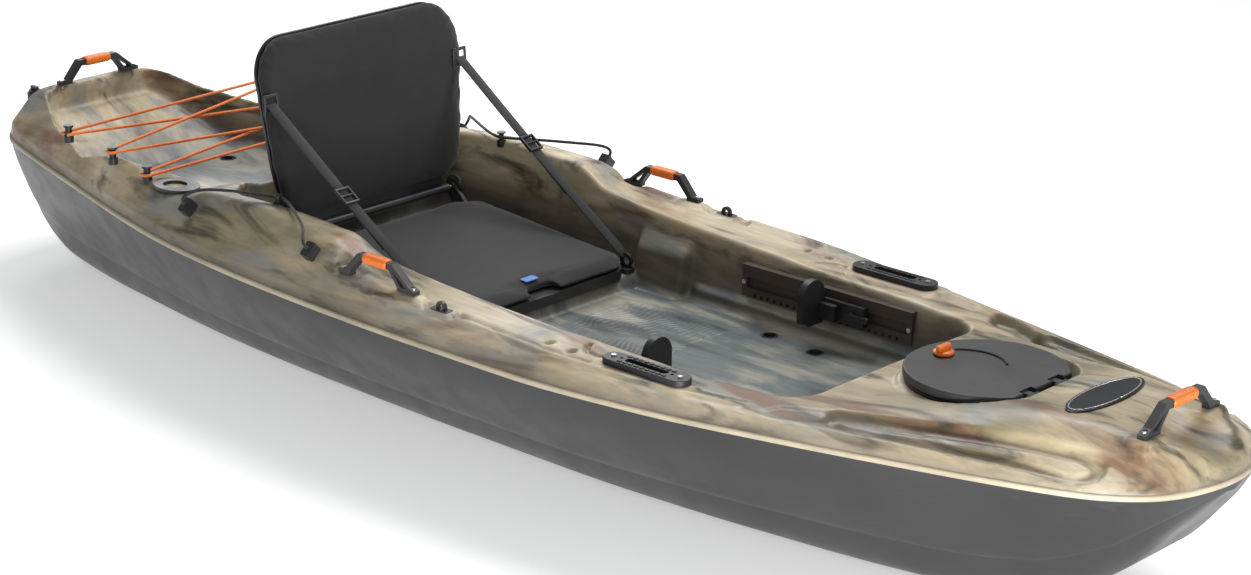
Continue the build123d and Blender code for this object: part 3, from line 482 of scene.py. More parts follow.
def object_coordinates(tree, scale=(1, 1, 1)):
    place = tree.nodes.new("ShaderNodeTexCoord")
    mapping = tree.nodes.new("ShaderNodeMapping")
    mapping.inputs["Scale"].default_value = scale
    tree.links.new(place.outputs["Object"], mapping.inputs["Vector"])
    return mapping.outputs["Vector"]


def noise(tree, vector, scale, detail=4.0, distortion=0.0, roughness=0.55):
    node = tree.nodes.new("ShaderNodeTexNoise")
    node.inputs["Scale"].default_value = scale
    node.inputs["Detail"].default_value = detail
    node.inputs["Distortion"].default_value = distortion
    node.inputs["Roughness"].default_value = roughness
    tree.links.new(vector, node.inputs["Vector"])
    return node.outputs["Fac"]


def ramp(tree, source, stops):
    node = tree.nodes.new("ShaderNodeValToRGB")
    node.color_ramp.interpolation = "EASE"
    points = node.color_ramp.elements
    while len(points) < len(stops):
        points.new(0.5)
    for point, (place, colour) in zip(points, stops):
        point.position = place
        point.color = (*colour, 1)
    tree.links.new(source, node.inputs["Fac"])
    return node.outputs["Color"]


def mix(tree, share, a, b, mode="MIX"):
    node = tree.nodes.new("ShaderNodeMix")
    node.data_type = "RGBA"
    node.blend_type = mode
    for socket, value in ((node.inputs["Factor"], share), (node.inputs["A"], a), (node.inputs["B"], b)):
        if isinstance(value, (int, float)):
            socket.default_value = value
        elif isinstance(value, tuple):
            socket.default_value = (*value, 1)
        else:
            tree.links.new(value, socket)
    return node.outputs["Result"]


def share_between(tree, value, none_at, all_at, most=1.0):
    """A share that grows from 0 to most as value goes from none_at to all_at."""
    node = tree.nodes.new("ShaderNodeMapRange")
    node.inputs["From Min"].default_value = none_at
    node.inputs["From Max"].default_value = all_at
    node.inputs["To Max"].default_value = most
    tree.links.new(value, node.inputs["Value"])
    return node.outputs["Result"]


def bump(tree, shader, height, strength, distance):
    node = tree.nodes.new("ShaderNodeBump")
    node.inputs["Strength"].default_value = strength
    node.inputs["Distance"].default_value = distance
    tree.links.new(height, node.inputs["Height"])
    tree.links.new(node.outputs["Normal"], shader.inputs["Normal"])


def grey(value):
    return (value, value, value)


TAN = (0.440, 0.355, 0.225)
PALE_TAN = (0.570, 0.485, 0.340)
KHAKI = (0.255, 0.222, 0.130)
OLIVE = (0.050, 0.042, 0.026)
RUST = (0.190, 0.082, 0.040)
SMOKE = (0.225, 0.235, 0.225)
PALE_SMOKE = (0.330, 0.320, 0.275)
BLUE_GREY = (0.105, 0.135, 0.148)
DEEP_BLUE = (0.030, 0.046, 0.056)
# dark brown painted shade for the wells' steep walls
WALL_PAINTED_SHADE = (0.075, 0.055, 0.032)


def camouflage_material():
    """Colours blended in the mould: tan and khaki with soft smoky streaks of dark brown, grey and rust, and
    painted shade in dark brown on the wells' steep walls.
    """
    material, tree, shader = new_material("deck_camouflage", TAN, 0.42, 0.42)
    broad = object_coordinates(tree, (0.62, 1.5, 1.5))
    along = object_coordinates(tree, (0.70, 2.6, 2.6))
    fine = object_coordinates(tree, (2.2, 14, 14))
    colour = ramp(tree, noise(tree, broad, 2.1, 5, 1.2), [(0.36, KHAKI), (0.50, TAN), (0.64, PALE_TAN)])
    smoke = ramp(tree, noise(tree, broad, 2.9, 6, 1.8), [(0.50, grey(0)), (0.66, grey(0.85))])
    colour = mix(tree, smoke, colour, SMOKE)
    rust = ramp(tree, noise(tree, along, 2.3, 6, 1.6), [(0.53, grey(0)), (0.68, grey(0.80))])
    colour = mix(tree, rust, colour, RUST)
    dark = ramp(tree, noise(tree, along, 3.4, 8, 2.2), [(0.50, grey(0)), (0.68, grey(0.94))])
    colour = mix(tree, dark, colour, OLIVE)
    # the wells hold more blue-grey, and their steep walls, low down, get painted shade in dark brown
    place = tree.nodes.new("ShaderNodeTexCoord")
    split = tree.nodes.new("ShaderNodeSeparateXYZ")
    tree.links.new(place.outputs["Object"], split.inputs["Vector"])
    deep = share_between(tree, split.outputs["Z"], 0.300, 0.235)
    floor_blue = ramp(tree, noise(tree, broad, 2.6, 6, 2.0),
                      [(0.34, DEEP_BLUE), (0.47, BLUE_GREY), (0.60, PALE_SMOKE), (0.72, KHAKI)])
    colour = mix(tree, mix(tree, 0.10, deep, (0, 0, 0)), colour, floor_blue)
    facing = tree.nodes.new("ShaderNodeNewGeometry")
    upright = tree.nodes.new("ShaderNodeSeparateXYZ")
    tree.links.new(facing.outputs["Normal"], upright.inputs["Vector"])
    # painted shade: faces that are steep and low in the wells are darkened towards dark brown
    steep = share_between(tree, upright.outputs["Z"], 0.75, 0.30)
    inside = share_between(tree, split.outputs["Z"], 0.315, 0.255, most=0.75)
    wall_shade_share = mix(tree, inside, (0, 0, 0), steep)
    colour = mix(tree, wall_shade_share, colour, WALL_PAINTED_SHADE)
    streak = ramp(tree, noise(tree, fine, 5, 6, 0.8), [(0.35, grey(0.84)), (0.65, grey(1.0))])
    colour = mix(tree, 1.0, colour, streak, "MULTIPLY")
    tree.links.new(colour, shader.inputs["Base Color"])
    gloss = ramp(tree, noise(tree, along, 30, 3), [(0.3, grey(0.34)), (0.7, grey(0.46))])
    tree.links.new(gloss, shader.inputs["Roughness"])
    bump(tree, shader, noise(tree, object_coordinates(tree), 420, 2), 0.10, 0.0006)
    return material


def speckled_plastic(name, colour, roughness, grain=260, depth=0.10, spread=0.12):
    """Moulded plastic with a fine grain and a slight change of tone."""
    material, tree, shader = new_material(name, colour, roughness, 0.45)
    place = object_coordinates(tree)
    light = tuple(min(1, c * (1 + spread) + 0.004) for c in colour)
    dark = tuple(c * (1 - spread) for c in colour)
    tone = ramp(tree, noise(tree, place, 9, 4), [(0.35, dark), (0.65, light)])
    tree.links.new(tone, shader.inputs["Base Color"])
    gloss = ramp(tree, noise(tree, place, 22, 3),
                 [(0.3, grey(roughness - 0.05)), (0.7, grey(roughness + 0.06))])
    tree.links.new(gloss, shader.inputs["Roughness"])
    bump(tree, shader, noise(tree, place, grain, 2), depth, 0.0006)
    return material


def hull_material():
    """Satin dark grey polyethylene, with a few faint scuffs along the bottom."""
    material, tree, shader = new_material("hull_plastic", (0.028, 0.028, 0.029), 0.34, 0.5)
    place = object_coordinates(tree)
    tone = ramp(tree, noise(tree, place, 3, 5),
                [(0.35, (0.024, 0.024, 0.025)), (0.65, (0.032, 0.032, 0.033))])
    scuffs = ramp(tree, noise(tree, object_coordinates(tree, (0.4, 9, 9)), 6, 6, 0.4),
                  [(0.62, grey(0)), (0.70, grey(0.35))])
    colour = mix(tree, scuffs, tone, (0.045, 0.045, 0.047))
    tree.links.new(colour, shader.inputs["Base Color"])
    gloss = ramp(tree, noise(tree, place, 14, 4), [(0.3, grey(0.32)), (0.7, grey(0.42))])
    tree.links.new(gloss, shader.inputs["Roughness"])
    bump(tree, shader, noise(tree, place, 300, 2), 0.10, 0.0006)
    return material


def cover_material(name, colour, thread=0.0011):
    """Fine woven cover: crossed threads with a soft sheen and slight fading."""
    material, tree, shader = new_material(name, colour, 0.82, 0.25)
    shader.inputs["Sheen Weight"].default_value = 0.25
    shader.inputs["Sheen Roughness"].default_value = 0.5
    place = object_coordinates(tree)
    waves = []
    for axis in ("X", "Y", "Z"):
        wave = tree.nodes.new("ShaderNodeTexWave")
        wave.bands_direction = axis
        wave.inputs["Scale"].default_value = 0.314 / (thread * 2)
        wave.inputs["Distortion"].default_value = 0.6
        wave.inputs["Detail"].default_value = 1
        tree.links.new(place, wave.inputs["Vector"])
        waves.append(wave.outputs["Fac"])
    weave = mix(tree, 0.5, mix(tree, 0.5, waves[0], waves[1]), waves[2])
    faded = ramp(tree, noise(tree, place, 7, 5), [(0.3, tuple(c * 0.82 for c in colour)),
                                                   (0.7, tuple(c * 1.22 for c in colour))])
    fine = ramp(tree, noise(tree, place, 900, 2), [(0.35, grey(0.80)), (0.65, grey(1.0))])
    tree.links.new(mix(tree, 1.0, faded, fine, "MULTIPLY"), shader.inputs["Base Color"])
    bump(tree, shader, weave, 0.35, 0.0006)
    return material


def steel_material():
    material, tree, shader = new_material("stainless_steel", (0.60, 0.60, 0.60), 0.28, 0.5)
    shader.inputs["Metallic"].default_value = 1
    place = object_coordinates(tree)
    gloss = ramp(tree, noise(tree, place, 180, 3), [(0.3, grey(0.2)), (0.7, grey(0.36))])
    tree.links.new(gloss, shader.inputs["Roughness"])
    return material


def cord_material(name, colour, fleck):
    """Braided sheath: fine diagonal threads with a fleck."""
    material, tree, shader = new_material(name, colour, 0.62, 0.3)
    shader.inputs["Sheen Weight"].default_value = 0.2
    place = object_coordinates(tree)
    braid = tree.nodes.new("ShaderNodeTexWave")
    braid.bands_direction = "DIAGONAL"
    braid.inputs["Scale"].default_value = 160
    braid.inputs["Distortion"].default_value = 1.5
    tree.links.new(place, braid.inputs["Vector"])
    flecks = ramp(tree, noise(tree, place, 340, 2), [(0.58, grey(0)), (0.66, grey(0.8))])
    tree.links.new(mix(tree, flecks, colour, fleck), shader.inputs["Base Color"])
    bump(tree, shader, braid.outputs["Fac"], 0.5, 0.0008)
    return material


CAMOUFLAGE = camouflage_material()
LIP_TAN = speckled_plastic("lip_tan", (0.42, 0.36, 0.26), 0.45, 240, 0.08)
HULL_GREY = hull_material()
BLACK = speckled_plastic("black_plastic", (0.016, 0.016, 0.017), 0.40)
PAD_BLACK = speckled_plastic("fitting_black", (0.021, 0.021, 0.022), 0.50, 180, 0.16)
RAIL_BROWN = speckled_plastic("brown_plastic", (0.045, 0.032, 0.026), 0.40)
ORANGE = speckled_plastic("orange_plastic", (0.78, 0.165, 0.012), 0.34, 320, 0.06, 0.06)
BLUE = speckled_plastic("blue_tab", (0.015, 0.14, 0.52), 0.35, 300, 0.05, 0.05)
FOAM = speckled_plastic("flotation_foam", (0.72, 0.73, 0.70), 0.85, 120, 0.5, 0.05)
RUBBER = speckled_plastic("gasket_rubber", (0.022, 0.022, 0.022), 0.75, 200, 0.1)
BADGE = speckled_plastic("badge_black", (0.010, 0.010, 0.011), 0.16, 60, 0.02)
STEEL = steel_material()
COVER = cover_material("seat_foam_cover", (0.013, 0.013, 0.0135))
WEBBING = cover_material("black_webbing", (0.014, 0.014, 0.015), 0.0016)
ORANGE_CORD = cord_material("orange_cord", (0.80, 0.17, 0.02), (0.90, 0.42, 0.20))
BLACK_CORD = cord_material("black_cord", (0.012, 0.012, 0.013), (0.08, 0.08, 0.08))
lacing.data.materials.append(ORANGE_CORD)
for cord in paddle_cords:
    cord.data.materials.append(BLACK_CORD)

# ---------------------------------------------------------------- hull
# the hull's half section: share of half width, share of the height from keel to seam
SECTION = [(0.0, 0.0), (0.20, 0.0), (0.40, 0.0), (0.50, 0.035), (0.58, 0.095), (0.65, 0.20), (0.705, 0.315),
           (0.725, 0.360), (0.738, 0.372), (0.752, 0.392), (0.80, 0.485), (0.87, 0.635), (0.94, 0.800),
           (0.985, 0.935), (1.0, 1.0)]


def half_width(x):
    """Half width of the plan outline, rounded off at both ends."""
    xs, ys = np.array(PLAN_HALF).T
    return np.interp(x, xs, ys)


def add_hull():
    columns = 330
    xs = np.concatenate([-1.4773 + 0.05 * np.linspace(0, 1, 14)[:-1] ** 1.6,
                         np.linspace(-1.4273, 1.395, columns)[:-1],
                         1.4773 - 0.0823 * np.linspace(1, 0, 24) ** 1.6])
    share = np.array(SECTION)
    fine = np.linspace(0, len(share) - 1, 43)
    section_y = monotone(fine, np.arange(len(share), dtype=float), share[:, 0])
    section_z = monotone(fine, np.arange(len(share), dtype=float), share[:, 1])
    width = half_width(xs)[:, None]
    keel = line(xs, 2)[:, None]
    depth = seam_z(xs)[:, None] - 0.0045 - keel
    y = width * section_y[None, :]
    z = keel + depth * section_z[None, :]
    z = np.maximum(z, 0.0)
    across = np.concatenate([-y[:, ::-1], y[:, 1:]], axis=1)
    up = np.concatenate([z[:, ::-1], z[:, 1:]], axis=1)
    rows = across.shape[1]
    along = np.repeat(xs[:, None], rows, axis=1)
    verts = np.stack([along, across, up], axis=-1).reshape(-1, 3)
    faces = grid_faces(len(xs), rows)
    # close both end faces
    faces.append(tuple(range(rows)))
    faces.append(tuple(reversed(range((len(xs) - 1) * rows, len(xs) * rows))))
    hull = add_piece("hull_moulding", verts, faces, HULL_GREY)
    recalculate(hull)
    add_wall(hull, 0.005)
    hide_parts("hull_shell")


def field_normals(xs, ys, zs, field, points):
    """Unit gradients of the field at points, for smooth shading."""
    step = xs[1] - xs[0]
    origin = np.array((xs[0], ys[0], zs[0]))
    place = (points - origin) / step
    result = np.zeros((len(points), 3))
    limits = np.array(field.shape) - 2

    def sample(where):
        where = np.clip(where, 0, limits + 0.999)
        base = np.floor(where).astype(int)
        part = where - base
        value = 0
        for dx in (0, 1):
            for dy in (0, 1):
                for dz in (0, 1):
                    weight = (np.abs(1 - dx - part[:, 0]) * np.abs(1 - dy - part[:, 1])
                              * np.abs(1 - dz - part[:, 2]))
                    value = value + weight * field[base[:, 0] + dx, base[:, 1] + dy, base[:, 2] + dz]
        return value

    for axis in range(3):
        shift = np.zeros(3)
        shift[axis] = 0.8
        result[:, axis] = sample(place + shift) - sample(place - shift)
    length = np.linalg.norm(result, axis=1)
    return result / np.maximum(length, 1e-9)[:, None]


DECK_NODES = ("bow_deck", "aft_side_decks", "middle_side_decks", "fore_side_decks", "cockpit_tub",
              "cockpit_tank_bulkhead", "tank_tub", "stern_deck")
DECK_FACES = 170000


def add_deck():
    xs, ys, zs, field = deck_field()
    verts, quads = skin(xs, ys, zs, field)
    deck = add_piece("deck_moulding", verts, quads, CAMOUFLAGE)
    fewer = deck.modifiers.new("fewer", "DECIMATE")
    fewer.ratio = min(1.0, DECK_FACES / (2 * len(quads)))
    apply_modifiers(deck)
    mesh = deck.data
    count = len(mesh.vertices)
    points = np.empty(count * 3)
    mesh.vertices.foreach_get("co", points)
    normals = field_normals(xs, ys, zs, field, points.reshape(-1, 3))
    mesh.polygons.foreach_set("use_smooth", [True] * len(mesh.polygons))
    mesh.normals_split_custom_set_from_vertices(normals.tolist())
    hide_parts(*DECK_NODES)


add_hull()
add_deck()


LIP_PROFILE = [(-0.006, -0.0050), (0.0020, -0.0050), (0.0038, -0.0035), (0.0044, -0.0010), (0.0040, 0.0030),
               (0.0024, 0.0050), (-0.006, 0.0062)]


def add_seam_lip():
    """The rolled edge where deck and hull meet, right round the boat."""
    port = np.array(PLAN_HALF)
    outline = np.concatenate([port, (port * (1, -1))[::-1][1:-1]])
    loop = np.concatenate([outline, outline[:1]])
    run = np.concatenate([[0], np.cumsum(np.linalg.norm(np.diff(loop, axis=0), axis=1))])
    count = 700
    at = np.linspace(0, run[-1], count, endpoint=False)
    x, y = np.interp(at, run, loop[:, 0]), np.interp(at, run, loop[:, 1])
    for _ in range(6):
        x = (np.roll(x, 1) + 2 * x + np.roll(x, -1)) / 4
        y = (np.roll(y, 1) + 2 * y + np.roll(y, -1)) / 4
    tangent = np.stack([np.roll(x, -1) - np.roll(x, 1), np.roll(y, -1) - np.roll(y, 1)], axis=1)
    tangent /= np.linalg.norm(tangent, axis=1)[:, None]
    outward = np.stack([-tangent[:, 1], tangent[:, 0]], axis=1)
    verts, faces = [], []
    sides = len(LIP_PROFILE)
    for i in range(count):
        for out, up in LIP_PROFILE:
            verts.append((x[i] + outward[i, 0] * out, y[i] + outward[i, 1] * out, float(seam_z(x[i])) + up))
        here, ahead = i * sides, (i + 1) % count * sides
        for j in range(sides):
            k = (j + 1) % sides
            faces.append((here + j, ahead + j, ahead + k, here + k))
    recalculate(add_piece("seam_lip", verts, faces, LIP_TAN))


def add_floor_ridges():
    """Wavy grip lines moulded in the cockpit floor ahead of the seat."""
    step = 0.0017
    x0, x1, half = 0.026, 0.315, 0.196
    xs = np.arange(x0, x1, step)
    ys = np.arange(-half, half, step)
    gx, gy = np.meshgrid(xs, ys, indexing="ij")
    wave = (0.011 * np.sin(26 * gy + 7 * gx) + 0.005 * np.sin(61 * gy - 23 * gx)
            + 0.003 * np.sin(118 * gy + 40 * gx))
    phase = (np.hypot(gx + 0.16, 0.62 * gy) + wave) / 0.0118
    ridge = smooth(1 - np.abs(phase - np.floor(phase) - 0.5) / 0.30)
    edge = np.minimum(np.minimum(gx - x0, x1 - gx), half - np.abs(gy))
    patch = edge - 0.010 - 0.014 * np.abs(np.sin(19 * gy + 3)) * (gx > 0.2)
    height = COCKPIT_FLOOR - 0.0012 + smooth(patch / 0.012) * (0.0016 + 0.0013 * ridge)
    verts = np.stack([gx, gy, height], axis=-1).reshape(-1, 3)
    ridges = add_piece("floor_grip_lines", verts, grid_faces(len(xs), len(ys)), CAMOUFLAGE)
    add_wall(ridges, 0.002)


add_seam_lip()
add_floor_ridges()


# ---------------------------------------------------------------- seat
PAD_VOXEL = 0.0055
PAD_PRESSURE = 4.0
PAD_FRAMES = 20


def pad_from_node(name, node, body, inset, cap):
    """A soft piece in the room of its CAD solid: drawn in, then swollen by a short cloth simulation."""
    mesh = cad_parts[node].data.copy()
    pad = bpy.data.objects.new(name, mesh)
    bpy.context.collection.objects.link(pad)
    mesh.materials.clear()
    mesh.materials.append(COVER)
    remesh = pad.modifiers.new("remesh", "REMESH")
    remesh.mode = "VOXEL"
    remesh.voxel_size = PAD_VOXEL
    rounder = pad.modifiers.new("rounder", "SMOOTH")
    rounder.factor = 0.5
    rounder.iterations = 6
    shrink = pad.modifiers.new("shrink", "DISPLACE")
    shrink.strength = -inset
    shrink.mid_level = 0
    apply_modifiers(pad)
    count = len(pad.data.vertices)
    start = np.empty(count * 3)
    pad.data.vertices.foreach_get("co", start)
    start = start.reshape(-1, 3)
    cloth = pad.modifiers.new("cloth", "CLOTH")
    cloth.settings.effector_weights.gravity = 0
    cloth.settings.use_pressure = True
    cloth.settings.uniform_pressure_force = PAD_PRESSURE
    cloth.settings.quality = 4
    cloth.settings.tension_stiffness = 22
    cloth.settings.compression_stiffness = 22
    cloth.collision_settings.use_collision = False
    cloth.point_cache.frame_start = 1
    cloth.point_cache.frame_end = PAD_FRAMES
    for number in range(1, PAD_FRAMES + 1):
        bpy.context.scene.frame_set(number)
    depsgraph = bpy.context.evaluated_depsgraph_get()
    swollen = np.empty(count * 3)
    pad.evaluated_get(depsgraph).data.vertices.foreach_get("co", swollen)
    moved = swollen.reshape(-1, 3) - start
    far = np.linalg.norm(moved, axis=1)
    moved *= (np.minimum(far, cap) / np.maximum(far, 1e-9))[:, None]
    pad.modifiers.clear()
    bpy.context.scene.frame_set(1)
    pad.data.vertices.foreach_set("co", (start + moved).ravel())
    finer = pad.modifiers.new("finer", "SUBSURF")
    finer.levels = 1
    finer.render_levels = 1
    apply_modifiers(pad)
    pad.data.polygons.foreach_set("use_smooth", [True] * len(pad.data.polygons))
    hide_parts(node)
    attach(pad, body)


def sweep_band(name, route, across, width, thickness, material):
    """A flat strap along a route of points; across is its width direction."""
    points = [Vector(p) for p in route]
    across = Vector(across).normalized()
    edge = [(-0.5, -0.32), (-0.47, -0.5), (0.47, -0.5), (0.5, -0.32), (0.5, 0.32), (0.47, 0.5), (-0.47, 0.5),
            (-0.5, 0.32)]
    verts, faces = [], []
    for i, point in enumerate(points):
        ahead = points[min(i + 1, len(points) - 1)] - points[max(i - 1, 0)]
        normal = ahead.cross(across).normalized()
        side_way = normal.cross(ahead).normalized()
        for a, b in edge:
            verts.append(point + side_way * (a * width) + normal * (b * thickness))
    n = len(edge)
    for i in range(len(points) - 1):
        for j in range(n):
            k = (j + 1) % n
            faces.append((i * n + j, i * n + k, (i + 1) * n + k, (i + 1) * n + j))
    faces.append(tuple(reversed(range(n))))
    faces.append(tuple(range((len(points) - 1) * n, len(points) * n)))
    band = add_piece(name, verts, faces, material, body=None)
    recalculate(band)
    return band


def rounded_box(name, centre, size, material, radius, turn=None, segments=3):
    """A block with rounded edges, turned by an optional rotation matrix."""
    work = bmesh.new()
    bmesh.ops.create_cube(work, size=1)
    bmesh.ops.scale(work, vec=size, verts=work.verts)
    bmesh.ops.bevel(work, geom=list(work.edges), offset=min(radius, 0.49 * min(size)), segments=segments,
                    profile=0.5, affect="EDGES")
    place = Matrix.Translation(centre) @ (turn.to_4x4() if turn else Matrix.Identity(4))
    bmesh.ops.transform(work, matrix=place, verts=work.verts)
    mesh = bpy.data.meshes.new(name)
    work.to_mesh(mesh)
    work.free()
    mesh.polygons.foreach_set("use_smooth", [True] * len(mesh.polygons))
    obj = bpy.data.objects.new(name, mesh)
    bpy.context.collection.objects.link(obj)
    mesh.materials.append(material)
    normals = obj.modifiers.new("normals", "WEIGHTED_NORMAL")
    normals.keep_sharp = True
    return obj


def join(pieces, name):
    """One object from several unparented ones, in world coordinates."""
    work = bmesh.new()
    for piece in pieces:
        depsgraph = bpy.context.evaluated_depsgraph_get()
        mesh = bpy.data.meshes.new_from_object(piece.evaluated_get(depsgraph), depsgraph=depsgraph)
        mesh.transform(piece.matrix_world)
        work.from_mesh(mesh)
        bpy.data.meshes.remove(mesh)
    material = pieces[0].data.materials[0]
    for piece in pieces:
        bpy.data.objects.remove(piece, do_unlink=True)
    mesh = bpy.data.meshes.new(name)
    work.to_mesh(mesh)
    work.free()
    mesh.materials.clear()
    mesh.materials.append(material)
    obj = bpy.data.objects.new(name, mesh)
    bpy.context.collection.objects.link(obj)
    return obj


ROUND_STEPS = 40


def lathe(name, profile, centre, axis, material):
    """A turned piece: profile holds (radius, height along the axis) pairs."""
    axis = Vector(axis).normalized()
    first = axis.orthogonal().normalized()
    second = axis.cross(first)
    verts, faces = [], []
    n = len(profile)
    for i in range(ROUND_STEPS):
        angle = 2 * math.pi * i / ROUND_STEPS
        out = first * math.cos(angle) + second * math.sin(angle)
        for radius, height in profile:
            verts.append(Vector(centre) + out * radius + axis * height)
    for i in range(ROUND_STEPS):
        k = (i + 1) % ROUND_STEPS
        for j in range(n - 1):
            faces.append((i * n + j, k * n + j, k * n + j + 1, i * n + j + 1))
    obj = add_piece(name, verts, faces, material, body=None)
    recalculate(obj)
    return obj


HINGE = Vector((-0.486, 0, 0.284))
STRAP_TOP = Vector((-0.486, 0.250, 0.535))
STRAP_FOOT = Vector((-0.034, 0.243, 0.233))
# turned profiles: radius, height along the axis
HUB_PROFILE = [(0.0, 0.0060), (0.006, 0.0060), (0.009, 0.0045), (0.017, 0.0045), (0.0215, 0.0030),
               (0.023, 0.0010), (0.023, -0.0010), (0.0, -0.0010)]
KNOB_PROFILE = [(0.0, -0.012), (0.007, -0.012), (0.007, 0.0004), (0.0165, 0.0006), (0.0180, 0.0020),
                (0.0180, 0.0052), (0.0168, 0.0068), (0.0, 0.0072)]


def add_seat():
    pad_from_node("seat_pad", "seat_cushion", "seat", 0.0035, 0.0055)
    pad_from_node("seat_back_pad", "seat_back_cushion", "seat_back", 0.0030, 0.0045)
    for side, side_name in ((-1, "starboard"), (1, "port")):
        top = Vector((STRAP_TOP.x, side * STRAP_TOP.y, STRAP_TOP.z))
        foot = Vector((STRAP_FOOT.x, side * STRAP_FOOT.y, STRAP_FOOT.z))
        along = (foot - top).normalized()
        across = Vector((0, 1, 0))
        normal = along.cross(across).normalized()
        route = [top.lerp(foot, t) - Vector((0, 0, 0.004 * math.sin(math.pi * t)))
                 for t in np.linspace(-0.032, 1, 26)]
        strap = sweep_band(side_name + "_strap", route, across, 0.024, 0.0022, WEBBING)
        # the doubled end that runs back from the buckle
        buckle_at = top.lerp(foot, 0.42)
        tail = [buckle_at.lerp(foot, t) + normal * (-0.0032 - 0.0035 * math.sin(math.pi * t))
                for t in np.linspace(0.03, 0.42, 13)]
        doubled = sweep_band(side_name + "_strap_tail", tail, across, 0.023, 0.0018, WEBBING)
        turn = Matrix((along, across, normal)).transposed()
        frame_pieces = []
        for shift, length in ((-0.017, 0.005), (0.0, 0.004), (0.017, 0.005)):
            frame_pieces.append(rounded_box("bar", buckle_at + along * shift, (length, 0.034, 0.0062),
                                            BLACK, radius=0.0018, turn=turn))
        for edge in (-1, 1):
            frame_pieces.append(rounded_box("side", buckle_at + across * edge * 0.0155,
                                            (0.040, 0.0045, 0.0072), BLACK, radius=0.0018, turn=turn))
        buckle = join(frame_pieces, side_name + "_buckle")
        for piece, slot_name, nodes in ((strap, "black_webbing", (side_name + "_seat_strap",)),
                                        (doubled, "black_webbing", ()),
                                        (buckle, "black_plastic", (side_name + "_strap_buckle",))):
            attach(piece, "seat")
            if nodes:
                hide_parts(*nodes)
            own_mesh(piece)
        # the slotted plate the strap comes through on the back's face
        lean = Matrix.Rotation(math.radians(-6), 3, "Y")
        slot_place = Vector((-0.4985, side * 0.2495, 0.5455))
        bars = [rounded_box("bar", slot_place + lean @ Vector((0, 0, up)), (0.0035, 0.036, 0.007), BLACK,
                            radius=0.0012, turn=lean) for up in (-0.016, 0.016)]
        bars += [rounded_box("side", slot_place + Vector((0, across_by, 0)), (0.0035, 0.006, 0.038), BLACK,
                             radius=0.0012, turn=lean) for across_by in (-0.0155, 0.0155)]
        slot_plate = join(bars, side_name + "_strap_slot")
        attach(slot_plate, "seat_back")
        # the round hub outside each hinge ear
        hub = lathe(side_name + "_seat_hub", HUB_PROFILE, (HINGE.x, side * 0.2215, HINGE.z), (0, side, 0),
                    BLACK)
        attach(hub, "seat")


add_seat()


# ---------------------------------------------------------------- fittings
# the way each handle's grip runs, in degrees from the bow
HANDLE_TURNS = {"bow": -90, "stern": 90, "starboard": 0, "port": 180}
GRIP_RINGS = 57
GRIP_RIBS = 9
RIB_HEIGHT = 0.0006
GRIP_SQUARENESS = 2.8


def add_grips():
    """Ribbed sleeves on the carry handles."""
    for name, turn in HANDLE_TURNS.items():
        low, high = (Vector(c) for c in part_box(name + "_grip"))
        centre = (low + high) / 2
        along = Vector((math.cos(math.radians(turn)), math.sin(math.radians(turn)), 0))
        length = max(high.x - low.x, high.y - low.y)
        half_w = min(high.x - low.x, high.y - low.y) / 2
        half_h = (high.z - low.z) / 2
        side_way = Vector((-along.y, along.x, 0))
        verts, faces = [], []
        for i in range(GRIP_RINGS):
            t = i / (GRIP_RINGS - 1)
            rib = RIB_HEIGHT * max(0.0, math.cos(2 * math.pi * t * GRIP_RIBS)) * (1 if 0.10 < t < 0.90 else 0)
            end = 1 - 0.10 * (1 - smooth(min(t, 1 - t) / 0.05))
            radius_w = (half_w - RIB_HEIGHT) * end + rib
            radius_h = (half_h - RIB_HEIGHT) * end + rib
            for j in range(ROUND_STEPS):
                angle = 2 * math.pi * j / ROUND_STEPS
                c, s = math.cos(angle), math.sin(angle)
                fullness = (abs(c) ** GRIP_SQUARENESS + abs(s) ** GRIP_SQUARENESS) ** (-1 / GRIP_SQUARENESS)
                verts.append(centre + along * (t - 0.5) * length + side_way * c * fullness * radius_w
                             + Vector((0, 0, 1)) * s * fullness * radius_h)
        for i in range(GRIP_RINGS - 1):
            here, ahead = i * ROUND_STEPS, (i + 1) * ROUND_STEPS
            for j in range(ROUND_STEPS):
                k = (j + 1) % ROUND_STEPS
                faces.append((here + j, ahead + j, ahead + k, here + k))
        faces.append(tuple(reversed(range(ROUND_STEPS))))
        faces.append(tuple(range((GRIP_RINGS - 1) * ROUND_STEPS, GRIP_RINGS * ROUND_STEPS)))
        grip = add_piece(name + "_ribbed_grip", verts, faces, ORANGE)
        recalculate(grip)
        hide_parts(name + "_grip")


def add_hatch_details():
    """The thumb turn and the curved line beside it."""
    low, high = (Vector(c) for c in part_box("hatch_knob"))
    centre = Vector(((low.x + high.x) / 2, (low.y + high.y) / 2, 0))
    lid_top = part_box("hatch_lid")[1][2]
    disc = lathe("knob_disc", KNOB_PROFILE, (centre.x, centre.y, lid_top), (0, 0, 1), ORANGE)
    fin = rounded_box("knob_fin", (centre.x, centre.y, lid_top + 0.0115), (0.0125, 0.0335, 0.0135), ORANGE,
                      radius=0.005, segments=5)
    knob = join([disc, fin], "hatch_turn")
    knob.data.polygons.foreach_set("use_smooth", [True] * len(knob.data.polygons))
    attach(knob, "hatch_knob")
    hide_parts("hatch_knob")
    route = []
    for t in np.linspace(0, 1, 30):
        angle = math.radians(150 - 118 * t)
        route.append((0.948 + 0.048 * math.cos(angle) + 0.024 * t, 0.006 + 0.050 * math.sin(angle),
                      lid_top + 0.0012))
    bead = sweep_band("hatch_bead", route, (0, 0, 1), 0.0030, 0.0040, RUBBER)
    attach(bead, "hatch_lid")


